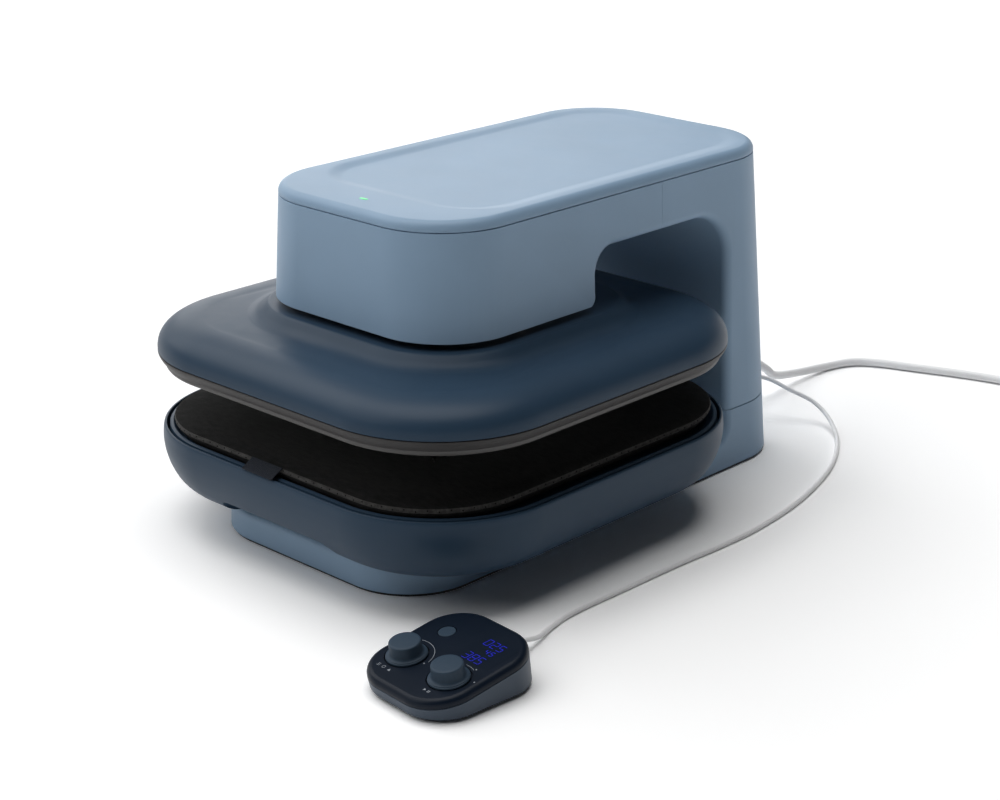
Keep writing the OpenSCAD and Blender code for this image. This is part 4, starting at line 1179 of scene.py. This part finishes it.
def make_marks():
    """Plain printed marks by the knobs: arcs, dots and simple shapes."""
    left = -KNOB_X
    right = KNOB_X
    low, middle, high = ICON_Y, ICON_Y + ICON_H / 2, ICON_Y + ICON_H
    shapes = [arc_points(left, KNOB_Y, 21.2 * mm, 0.35 * mm, 10, 106),
              arc_points(right, KNOB_Y, 19.4 * mm, 0.3 * mm, 68, 98)]
    dots = ((left + 19.6 * mm, KNOB_Y + 0.6 * mm), (right + 8.2 * mm, KNOB_Y + 19.6 * mm),
            (right + 19.4 * mm, KNOB_Y + 7.8 * mm))
    shapes += [disc_points(x, y, DOT_R) for x, y in dots]
    for k in range(3):
        shapes.append(bar_points(left - 8.6 * mm, low + k * 1.2 * mm, ICON_H, MARK_T))
    shapes.append(arc_points(left - 1.4 * mm, low + 1.4 * mm, 1.4 * mm, MARK_T, 0, 350))
    shapes.append([(left + 3.8 * mm, low), (left + 6.6 * mm, low), (left + 5.2 * mm, high)])
    shapes.append([(right - 3.6 * mm, low), (right - 1.4 * mm, middle), (right - 3.6 * mm, high)])
    for x in (0.6 * mm, 2.0 * mm):
        shapes.append(bar_points(right + x, low, 0.55 * mm, ICON_H))
    mesh = mesh_of("pod_marks", shapes, FACE, PRINT_H)
    make_piece("pod_marks", mesh, PRINT, "housing")


POD_PLAN = (POD_W / 2, -POD_D / 2, POD_D / 2, POD_R)
make_pod_cover(POD_PLAN)
make_pod_tub(POD_PLAN)
make_controls()
make_display()
make_marks()


# CAD pieces that show as they are, and those inside
CAD_FINISH = {
    "foot_ring": RUBBER, "base_plate": BLACK, "inner_frame": STEEL, "guide_bush_left": BRONZE,
    "guide_bush_right": BRONZE, "gear_motor": MOTOR, "control_board": BOARD, "power_supply": SUPPLY,
    "drive_screw": STEEL, "lift_nut": BRONZE, "lift_ram": STEEL, "guide_rod_left": CHROME,
    "guide_rod_right": CHROME, "carriage": STEEL, "insulation": BOARD_INSULATION,
    "pod_feet": RUBBER, "pod_board": BOARD, "knob_shaft_left": STEEL, "knob_shaft_right": STEEL,
    "pod_sleeve": POD_NAVY, "cable_gland": GLAND, "power_gland": GLAND, "power_plug": PLUG,
}
PIN_LENGTH = 20.5 * mm


def finish_cad():
    """Gives the carried-over CAD nodes their finishes, with bright pins on the plug."""
    for name, material in CAD_FINISH.items():
        mesh = nodes[name].data
        mesh.materials.clear()
        mesh.materials.append(material)
    plug = nodes["power_plug"].data
    plug.materials.append(CHROME)
    pins_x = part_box("power_plug")[1].x - PIN_LENGTH
    for face in plug.polygons:
        if face.center.x > pins_x:
            face.material_index = 1


finish_cad()


# Floor and light
FLOOR_SIZE = 60
FLOOR_Z = -0.05 * mm
FLOOR_COLOR = (0.90, 0.90, 0.90)
FLOOR_SEEN_GAIN = 1.3
AMBIENT = 0.035
HORIZON_LOW = 6
HORIZON_HIGH = 18


def seen_ray(tree):
    """1 for rays by which the camera sees a surface, straight or in a mirror or glass."""
    path = add(tree, "ShaderNodeLightPath")
    seen = path.outputs["Is Camera Ray"]
    for kind in ("Is Glossy Ray", "Is Transmission Ray"):
        seen = combine(tree, "MAXIMUM", seen, path.outputs[kind])
    return seen


def make_floor():
    """Pale floor that is seen as white and keeps the shadow, without more light on the object."""
    mesh = bpy.data.meshes.new("floor")
    h = FLOOR_SIZE / 2
    corners = [(-h, -h, 0), (h, -h, 0), (h, h, 0), (-h, h, 0)]
    mesh.from_pydata(corners, [], [(0, 1, 2, 3)])
    mat, tree, bsdf = new_material("floor", FLOOR_COLOR, 0.9)
    bsdf.inputs["Specular IOR Level"].default_value = 0.0
    tint(tree, bsdf, FLOOR_COLOR, map_range(tree, seen_ray(tree), 0, 1, 1, FLOOR_SEEN_GAIN))
    mesh.materials.append(mat)
    floor = link(bpy.data.objects.new("floor", mesh))
    floor.location.z = FLOOR_Z


def make_world():
    """Dim studio whose far backdrop, low down, is seen as white."""
    world = bpy.data.worlds.new("studio")
    world.use_nodes = True
    tree = world.node_tree
    background = tree.nodes["Background"]
    background.inputs["Color"].default_value = (1, 1, 1, 1)
    place = add(tree, "ShaderNodeSeparateXYZ")
    tree.links.new(add(tree, "ShaderNodeTexCoord").outputs["Generated"], place.inputs["Vector"])
    low, high = (math.sin(math.radians(a)) for a in (HORIZON_LOW, HORIZON_HIGH))
    backdrop = map_range(tree, place.outputs["Z"], low, high, 1 - AMBIENT, 0)
    white = combine(tree, "MULTIPLY", seen_ray(tree), backdrop)
    level = add(tree, "ShaderNodeMath", operation="ADD")
    level.inputs[1].default_value = AMBIENT
    tree.links.new(white, level.inputs[0])
    tree.links.new(level.outputs["Value"], background.inputs["Strength"])
    scene.world = world


def soft_sun(name, source, patch, strength):
    """Even light from a wide round patch in one direction. patch is its angle across."""
    data = bpy.data.lights.new(name, "SUN")
    data.angle = math.radians(patch)
    data.energy = strength
    obj = link(bpy.data.objects.new(name, data))
    obj.rotation_mode = "QUATERNION"
    obj.rotation_quaternion = (-Vector(source)).to_track_quat("-Z", "Y")


# Name, direction it comes from, angle across and strength
LIGHTS = [
    ("overhead", (-0.15, 0.05, 0.98), 50, 1.75),
    ("left", (-0.80, 0.00, 0.60), 40, 0.80),
    ("front_fill", (-0.40, -0.60, 0.70), 45, 0.72),
    ("back_left", (-0.75, 0.60, 0.28), 28, 0.36)]

make_floor()
make_world()
for light in LIGHTS:
    soft_sun(*light)
scene.view_settings.view_transform = "Standard"
